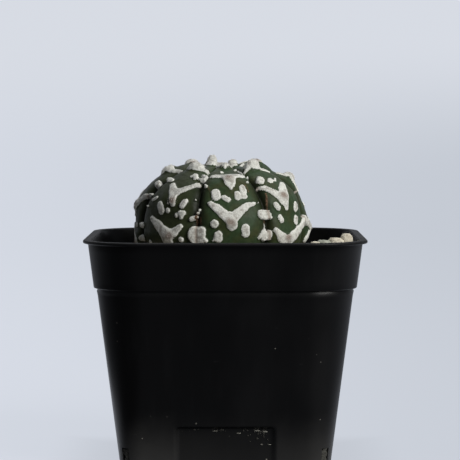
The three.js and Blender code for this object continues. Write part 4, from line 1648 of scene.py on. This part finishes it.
    def wool(self) -> Surface:
        """Plants tufts of tapered, bending hairs on the areoles.

        A hair starts at p on its areole's cushion and follows p + l s n + l s^2 b for s from 0 to 1,
        with n its outward direction and b a random bend, as a three-sided spike of shrinking width.

        Returns:
            All the hairs.
        """
        f = self.form
        rng = np.random.default_rng(self.hair_seed)
        starts, leans, lengths = [], [], []
        for rib in range(f.ribs):
            for a in self.pattern.areoles[rib]:
                if a.run > f.relief_ends - 3.0:
                    continue
                count = int(self.hairs_each * (0.3 + a.height))
                spin = rng.uniform(0.0, 2.0 * math.pi, count)
                away = a.radius * 0.95 * np.sqrt(rng.random(count))
                x, y = a.across + a.widen * away * np.cos(spin), a.run + away * np.sin(spin)
                y = np.maximum(y, 0.4)
                half = f.half_rib(y)
                turn = rib + np.clip(x / (2.0 * half), -0.95, 0.95)
                here, _ = self.skin(turn, y)
                right, _ = self.skin(turn + 0.004, y)
                below, _ = self.skin(turn, y + 0.2)
                normal = np.cross(below - here, right - here)
                normal /= np.linalg.norm(normal, axis=1, keepdims=True)
                starts.append(here - 0.1 * normal)
                leans.append(normal)
                lengths.append(rng.uniform(*self.hair_length, count) * (0.85 - 0.1 * a.height))
        start, lean = np.concatenate(starts), np.concatenate(leans)
        length = np.concatenate(lengths)[:, None, None]
        count = len(start)
        lean = lean + rng.normal(scale=self.hair_spread, size=(count, 3))
        lean /= np.linalg.norm(lean, axis=1, keepdims=True)
        bend = rng.normal(scale=self.hair_bend, size=(count, 3))
        side = np.cross(lean, rng.normal(size=(count, 3)))
        side /= np.linalg.norm(side, axis=1, keepdims=True)
        other = np.cross(lean, side)
        s = np.array([0.0, 0.4, 0.75])[None, :, None]
        middle = start[:, None] + length * (s * lean[:, None] + s**2 * bend[:, None])
        width = self.hair_radius * (1.0 - 0.75 * s)
        corners = (np.arange(3) * 2.0 * math.pi / 3.0)[None, :, None]
        ring = np.cos(corners) * side[:, None] + np.sin(corners) * other[:, None]
        rows = middle[:, :, None] + width[..., None] * ring[:, None]
        tip = start[:, None] + length * (lean[:, None] + bend[:, None])
        root = start[:, None] - 0.02 * lean[:, None]
        one = Surface.grid(rows[0]).capped(3, root[0, 0], tip[0, 0])
        return one.copies(np.concatenate([rows.reshape(count, 9, 3), root, tip], axis=1))

    def build(self) -> list[bpy.types.Object]:
        """Makes the body and its wool and rides them on the part.

        Returns:
            The two pieces.
        """
        body = self.body().build("cactus_body", CactusSkin().material())
        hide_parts("cactus")
        tufts = self.wool().build("areole_wool", Fleece().material())
        for piece in (body, tufts):
            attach(piece, "root")
        return [body, tufts]


# Top dressing


class Stone(Enum):
    """The kinds of grain in the top dressing."""

    CREAM = Granule("grit_cream", (0.57, 0.53, 0.43), (0.28, 0.245, 0.185))
    GREENISH = Granule("grit_greenish", (0.36, 0.37, 0.31), (0.20, 0.21, 0.165))
    TAN = Granule("grit_tan", (0.30, 0.21, 0.12), (0.17, 0.11, 0.06))


@dataclass(frozen=True)
class LaidGrain:
    """A listed grain, in millimetres, with its half sizes and its turn about the vertical."""

    place: Triple
    half: Triple
    turn: float
    stone: Stone

    def rotation(self) -> list[list[float]]:
        """Returns the matrix of its turn."""
        c, s = math.cos(math.radians(self.turn)), math.sin(math.radians(self.turn))
        return [[c, -s, 0.0], [s, c, 0.0], [0.0, 0.0, 1.0]]


HEAP_GRAINS = (
    LaidGrain((39.0, -13.8, 73.7), (1.95, 2.2, 2.6), 6.0, Stone.CREAM),
    LaidGrain((35.4, -15.2, 73.4), (2.5, 2.0, 1.65), 12.0, Stone.CREAM),
    LaidGrain((31.7, -16.0, 72.9), (2.6, 2.0, 1.4), -6.0, Stone.GREENISH),
    LaidGrain((28.9, -16.8, 72.65), (1.9, 1.9, 1.15), 10.0, Stone.CREAM),
    LaidGrain((25.9, -19.0, 71.5), (1.9, 2.0, 1.5), 65.0, Stone.GREENISH),
    LaidGrain((35.8, -20.0, 72.2), (2.5, 2.4, 2.0), 70.0, Stone.CREAM),
    LaidGrain((31.8, -20.6, 71.6), (2.4, 2.4, 1.8), 30.0, Stone.GREENISH),
    LaidGrain((37.4, -8.6, 71.9), (2.4, 2.6, 2.2), 0.0, Stone.CREAM),
    LaidGrain((33.0, -9.5, 71.2), (2.6, 2.4, 1.9), 55.0, Stone.TAN),
)


@dataclass
class TopDressing:
    """A thin bed under a layer of loose grains, heaped against the right wall."""

    pot: PotSizes = field(default_factory=PotSizes)
    form: CactusForm = field(default_factory=CactusForm)
    bottom: float = 64.9
    bed_top: float = 66.9
    level: float = 68.4
    gap: float = 0.25
    bed_steps: int = 288
    bed_rows: int = 22
    bed_roughness: float = 0.35
    spacing: float = 3.0
    scatter_reach: float = 44.0
    layers: int = 5
    layer_step: float = 1.7
    jitter: float = 0.9
    laid_clearance: float = 3.4
    grain: Pair = (1.25, 2.1)
    kind_shares: tuple[float, ...] = (0.52, 0.30, 0.18)
    heap: tuple[float, float, float, float] = (41.0, -14.0, 4.6, 13.0)
    seed: int = 19

    def hole_radius(self, z: Array | float) -> Array:
        """Reads the radius that the cactus takes up under its widest place.

        Args:
            z: Height.

        Returns:
            The radius at that height.
        """
        line, radius, height = self.form.crest()
        lower = line > line[np.argmax(radius)]
        return np.interp(z, (self.form.rim_height + height[lower])[::-1], radius[lower][::-1])

    def bed(self) -> Surface:
        """Builds the bed as a closed ring: its section, a flat box with an uneven top, carried around.

        Returns:
            The bed.
        """
        turn = np.arange(self.bed_steps) * 2.0 * math.pi / self.bed_steps
        facing = np.stack([np.cos(turn), np.sin(turn)], axis=-1)
        centre = np.array([self.form.axis_x, 0.0])
        outer = self.rounded(turn, self.pot.inside_half(self.bottom) - self.gap)
        low_in = centre + (self.hole_radius(self.bottom) + self.gap) * facing
        high_in = centre + (self.hole_radius(self.bed_top) + self.gap) * facing
        level = np.full((self.bed_steps, 1), self.bottom)
        rows = [np.hstack([low_in, level]), np.hstack([outer, level])]
        for t in np.linspace(1.0, 0.0, self.bed_rows):
            flat = np.hstack([high_in + t * (outer - high_in), np.zeros_like(level)])
            rough = self.bed_roughness * Ripples(3.0, 21).at(flat)
            rows.append(np.column_stack([flat[:, :2], self.bed_top + rough]))
        return Surface.grid(np.stack(rows), close_rows=True)

    def rounded(self, turn: Array, half: float) -> Array:
        """Draws a rounded square as seen from its middle.

        With f the flat's half length and r the corner's radius, a corner's distance d solves
        (d |cos| - f)^2 + (d |sin| - f)^2 = r^2.

        Args:
            turn: Directions in radians.
            half: The square's half width.

        Returns:
            The point in each direction.
        """
        c, s = np.cos(turn), np.sin(turn)
        flat = self.pot.flat_half
        radius = half - flat
        x, y = np.abs(c), np.abs(s)
        square = half / np.maximum(x, y)
        b = (x + y) * flat
        root = np.sqrt(np.maximum(b * b - (2.0 * flat * flat - radius * radius), 0.0))
        corner = np.minimum(x, y) * square > flat
        reach = np.where(corner, b + root, square)
        return np.stack([reach * c, reach * s], axis=-1)

    def level_at(self, x: Array, y: Array) -> Array:
        """Returns the height of the grains' tops: the level plus the heap's bell."""
        hx, hy, rise, width = self.heap
        return self.level + rise * np.exp(-((np.hypot(x - hx, y - hy) / width) ** 2))

    def scatter(self, rng: np.random.Generator) -> tuple[Array, Array]:
        """Drops grains on a jittered grid in layers between the bed and the level.

        Of these it keeps the ones that lie inside the pot's wall, off the cactus, over the bed and
        clear of the listed grains.

        Args:
            rng: The source of the draws.

        Returns:
            Their middles and radii.
        """
        flat = self.pot.flat_half
        count = int(np.ceil(self.scatter_reach / self.spacing))
        steps = np.arange(-count, count + 1)
        i, j, layer = (part.ravel() for part in np.meshgrid(steps, steps, np.arange(self.layers)))
        jitter_x = rng.uniform(-self.jitter, self.jitter, len(i))
        jitter_y = rng.uniform(-self.jitter, self.jitter, len(i))
        x = (i + (j % 2) / 2.0 + (layer % 2) / 3.0) * self.spacing + jitter_x
        y = (j + (layer % 2) / 3.0) * self.spacing * 0.88 + jitter_y
        radius = rng.uniform(*self.grain, len(i))
        z = self.level_at(x, y) - radius * 0.9 - layer * self.layer_step + rng.uniform(-0.4, 0.3, len(i))
        middles = np.stack([x, y, z], axis=-1)
        wall = self.pot.inside_half(z) - radius * 0.95
        corner = np.hypot(np.maximum(np.abs(x) - flat, 0.0), np.maximum(np.abs(y) - flat, 0.0))
        inside = (np.abs(x) < wall) & (np.abs(y) < wall) & (corner < wall - flat)
        clear = np.hypot(x - self.form.axis_x, y) > self.hole_radius(z + radius * 0.5) + radius * 0.75
        over_bed = z > self.bed_top - 0.4
        laid = np.array([grain.place for grain in HEAP_GRAINS])
        free = np.linalg.norm(middles[:, None] - laid, axis=-1).min(axis=1) > self.laid_clearance
        kept = inside & clear & over_bed & free
        return middles[kept], radius[kept]

    def grains(self, middles: Array, halves: Array, turns: Array, seed: int) -> Surface:
        """Shapes and places grains.

        A grain is a rounded block, p / (|x|^3 + |y|^3 + |z|^3)^(1/3) for points p of a ball, times
        1 + 0.13 w, with w waves of its own, squashed to its half sizes, turned and moved.

        Args:
            middles: Middles in millimetres.
            halves: Half sizes along the grain's own axes.
            turns: Rotation matrices.
            seed: Seed of the waves.

        Returns:
            One surface of all the grains.
        """
        ball = icosphere()
        rng = np.random.default_rng(seed)
        own = ball.points[None] + rng.uniform(-40.0, 40.0, (len(middles), 1, 3))
        waves = Ripples(2.1, seed).at(own.reshape(-1, 3)).reshape(len(middles), -1, 1)
        block = ball.points / np.cbrt((np.abs(ball.points) ** 3).sum(axis=1, keepdims=True))
        shaped = block[None] * (1.0 + 0.13 * waves) * halves[:, None]
        moved = np.einsum("nij,nkj->nki", turns, shaped) + middles[:, None]
        return ball.copies(moved)

    def build(self) -> list[bpy.types.Object]:
        """Makes the bed and the grains of each kind and rides them on the part.

        Returns:
            The bed and one piece for each kind.
        """
        bed = self.bed().build("grit_bed", Mix().material("bed_crumbs"))
        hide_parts("grit")
        pieces = [bed]
        rng = np.random.default_rng(self.seed)
        middles, radii = self.scatter(rng)
        halves = radii[:, None] * rng.uniform(0.72, 1.15, (len(radii), 3))
        turns = random_turns(rng, len(radii))
        kinds = rng.choice(len(Stone), len(radii), p=self.kind_shares)
        for number, stone in enumerate(Stone):
            own = kinds == number
            laid = [grain for grain in HEAP_GRAINS if grain.stone is stone]
            surface = self.grains(
                np.concatenate([middles[own], [grain.place for grain in laid]]),
                np.concatenate([halves[own], [grain.half for grain in laid]]),
                np.concatenate([turns[own], [grain.rotation() for grain in laid]]),
                50 + number,
            )
            pieces.append(surface.build(stone.value.name, stone.value.material(), sharp=50.0))
        for piece in pieces:
            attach(piece, "root")
        return pieces


# Potting mix, crumbs and studio


@dataclass
class PottingMix:
    """The plug of mix that fills the pot; its solid stays and gets the mix's finish."""

    node: str = "potting_mix"

    def dress(self, frame: dict) -> None:
        """Gives the solid its material.
        """
        solid = frame["nodes"][self.node]
        material = Mix().material("potting_mix_crumbs")
        solid.data.materials.clear()
        solid.data.materials.append(material)


class Crumb(Enum):
    """The finishes of the crumbs: caught on the recess, packed in the slits, and pale."""

    CAUGHT = Granule("crumb", (0.050, 0.048, 0.042), (0.016, 0.015, 0.013))
    PACKED = Granule("slit_grain", (0.062, 0.061, 0.053), (0.022, 0.021, 0.018))
    PALE = Granule("pale_crumb", (0.20, 0.195, 0.17), (0.08, 0.075, 0.065))


@dataclass(frozen=True)
class LedgeCrumb:
    """A pale crumb on the front recess, in millimetres: its place, half length and half height."""

    x: float
    z: float
    long: float
    tall: float


PALE_CRUMBS = (
    LedgeCrumb(10.0, 15.3, 1.1, 0.20),
    LedgeCrumb(12.5, 15.0, 0.8, 0.24),
    LedgeCrumb(8.2, 16.2, 0.7, 0.14),
    LedgeCrumb(-11.2, 16.3, 0.9, 0.16),
    LedgeCrumb(4.2, 14.5, 0.75, 0.13),
    LedgeCrumb(11.4, 10.9, 0.35, 0.22),
    LedgeCrumb(13.9, 10.9, 0.6, 0.14),
    LedgeCrumb(-3.2, 15.2, 0.8, 0.12),
)


@dataclass
class StrayCrumbs:
    """Crumbs of mix caught on the front recess, a few pale ones, and grains that fill the slits."""

    pot: PotSizes = field(default_factory=PotSizes)
    on_left: int = 12
    on_middle: int = 14
    on_right: int = 44
    in_slit: int = 44
    drift_from: float = 6.0
    reach: Pair = (-13.6, 13.9)
    proud: float = 0.05
    flat_depth: float = 0.2
    seed: int = 3

    def on_recess(self, x: Array, z: Array) -> Array:
        """Returns points just proud of the front recess's face."""
        s = self.pot
        return np.stack([x, -s.body_half(z) + s.recess_at(z) - self.proud, z], axis=-1)

    def dusting(self, rng: np.random.Generator) -> tuple[Array, Array]:
        """Drops small crumbs on the recess: a few along its top and a drift in its right corner.

        Args:
            rng: The source of the draws.

        Returns:
            Their middles and half sizes.
        """
        left, middle = rng.normal(-9.0, 2.5, self.on_left), rng.normal(-2.0, 1.3, self.on_middle)
        x = np.concatenate([left, middle, rng.normal(10.8, 1.8, self.on_right)])
        drifted = np.abs(rng.normal(0.0, 1.7, len(x)))
        along_top = rng.uniform(0.0, 1.2, len(x))
        z = self.pot.recess_height - 0.3 - np.where(x > self.drift_from, drifted, along_top)
        radius = rng.uniform(0.10, 0.30, len(x))
        halves = radius[:, None] * rng.uniform(0.6, 1.2, (len(x), 3))
        return self.on_recess(np.clip(x, *self.reach), z), halves

    def fill(self, rng: np.random.Generator) -> tuple[Array, Array]:
        """Packs grains behind the corner slits, a little inside the wall's outer face.

        Args:
            rng: The source of the draws.

        Returns:
            Their middles and half sizes.
        """
        s = self.pot
        count = 4 * self.in_slit
        radius = rng.uniform(0.5, 0.95, count)
        z = rng.uniform(s.floor_raised + s.floor_thickness, s.slit_height, count) - radius * 0.5
        diagonal = np.repeat(np.arange(4), self.in_slit) * math.pi / 2.0 + math.pi / 4.0
        out = s.flat_half * math.sqrt(2.0) + s.body_half(z) - s.flat_half - 0.35 - radius * 0.8
        aside = rng.uniform(-1.0, 1.0, count) * (s.slit_width / 2.0 - radius * 0.8)
        c, t = np.cos(diagonal), np.sin(diagonal)
        middles = np.stack([out * c - aside * t, out * t + aside * c, z], axis=-1)
        return middles, radius[:, None] * rng.uniform(0.75, 1.1, (count, 3))

    def build(self) -> list[bpy.types.Object]:
        """Makes the crumbs and rides them on the part.

        Returns:
            The crumbs caught on the recess, those packed in the slits and the pale ones.
        """
        rng = np.random.default_rng(self.seed)
        x, z, long, tall = np.array([(c.x, c.z, c.long, c.tall) for c in PALE_CRUMBS]).T
        flat = np.stack([long, np.full(len(x), self.flat_depth), tall], axis=-1)
        laid = {
            "stray_crumbs": (Crumb.CAUGHT, *self.dusting(rng)),
            "slit_grains": (Crumb.PACKED, *self.fill(rng)),
            "pale_crumbs": (Crumb.PALE, self.on_recess(x, z), flat),
        }
        pieces = []
        for number, (name, (crumb, middles, halves)) in enumerate(laid.items()):
            turns = random_turns(rng, len(middles))
            if crumb is Crumb.PALE:
                turns = np.broadcast_to(np.eye(3), turns.shape)
            surface = TopDressing().grains(middles, halves, turns, 8 + number)
            pieces.append(surface.build(name, crumb.value.material()))
        for piece in pieces:
            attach(piece, "root")
        return pieces


@dataclass(frozen=True)
class SoftLight:
    """A square soft light: its place and aim and its width in millimetres, its power and its colour."""

    name: str
    place: Triple
    aim: Triple
    width: float
    watts: float
    tint: Colour

    def hang(self) -> None:
        """Adds the light to the scene, facing its aim."""
        data = bpy.data.lights.new(self.name, "AREA")
        data.shape = "SQUARE"
        data.size = self.width * MM
        data.energy = self.watts
        data.color = self.tint
        x, y, z = np.array(self.aim) - np.array(self.place)
        lamp = bpy.data.objects.new(self.name, data)
        lamp.location = [v * MM for v in self.place]
        lamp.rotation_euler = (math.atan2(math.hypot(x, y), -z), 0.0, math.atan2(-x, y))
        bpy.context.scene.collection.objects.link(lamp)


@dataclass
class Studio:
    """Floor and backdrop in one sweep, soft lights and the camera."""

    sweep_width: float = 6000.0
    sweep_front: float = -260.0
    sweep_back: float = 1500.0
    sweep_height: float = 4200.0
    bend_radius: float = 700.0
    paper_thickness: float = 8.0
    paper_drop: float = 6.0
    key: SoftLight = SoftLight(
        "key", (620.0, -620.0, 520.0), (0.0, 0.0, 85.0), 550.0, 11.0, (1.0, 0.99, 0.97)
    )
    top: SoftLight = SoftLight(
        "top", (50.0, 250.0, 900.0), (0.0, 0.0, 85.0), 700.0, 2.6, (0.97, 0.98, 1.0)
    )
    sky_tint: Colour = (0.86, 0.90, 1.0)
    sky_strength: float = 0.16
    lens: float = 172.64
    sensor: float = 36.0
    camera_place: Triple = (2.0, -722.0, 117.5)
    camera_pitch: float = 0.0566
    camera_yaw: float = 0.000725

    def sweep(self) -> bpy.types.Object:
        """Builds the paper: flat floor, a quarter circle up, then a wall, as a sheet of some thickness.

        Returns:
            The paper.
        """
        turn = np.linspace(0.0, math.pi / 2.0, 24)
        wall = self.sweep_back + self.bend_radius
        y = np.concatenate([[self.sweep_front], self.sweep_back + self.bend_radius * np.sin(turn), [wall]])
        z = np.concatenate([[0.0], self.bend_radius * (1.0 - np.cos(turn)), [self.sweep_height]])
        section = np.stack([y, z], axis=-1)
        back = section[::-1] + np.array([self.paper_drop, -self.paper_thickness])
        loop = np.concatenate([section, back])
        ends = np.array([-self.sweep_width / 2.0, self.sweep_width / 2.0])
        rows = np.stack([np.column_stack([np.full(len(loop), x), loop]) for x in ends])
        surface = Surface.grid(rows[:, ::-1])
        paper = surface.build("studio_sweep", StudioPaper().material())
        return paper

    def camera(self) -> None:
        """Sets the camera at the photograph's viewpoint."""
        data = bpy.data.cameras.new("camera")
        data.lens = self.lens
        data.sensor_width = self.sensor
        data.clip_start = 0.01
        data.clip_end = 50.0
        camera = bpy.data.objects.new("camera", data)
        camera.location = [v * MM for v in self.camera_place]
        camera.rotation_euler = (math.pi / 2.0 - self.camera_pitch, 0.0, self.camera_yaw)
        bpy.context.scene.collection.objects.link(camera)
        bpy.context.scene.camera = camera

    def build(self) -> None:
        """Makes the sweep, lights, surroundings and camera."""
        self.sweep()
        self.key.hang()
        self.top.hang()
        world = bpy.data.worlds.new("studio")
        world.use_nodes = True
        sky = world.node_tree.nodes["Background"]
        sky.inputs["Color"].default_value = (*self.sky_tint, 1.0)
        sky.inputs["Strength"].default_value = self.sky_strength
        bpy.context.scene.world = world
        bpy.context.scene.view_settings.view_transform = "Standard"
        self.camera()


def main() -> None:
    """Builds every piece in order."""
    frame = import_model()
    steps: list[tuple[str, Callable[[], object]]] = [
        ("studio", Studio().build),
        ("pot", SquarePot().build),
        ("potting mix", lambda: PottingMix().dress(frame)),
        ("top dressing", TopDressing().build),
        ("cactus", StarCactus().build),
        ("crumbs", StrayCrumbs().build),
    ]
    for name, build in steps:
        build()
        log.info("built the %s", name)


if __name__ == "__main__":
    logging.basicConfig(level=logging.INFO)
    main()
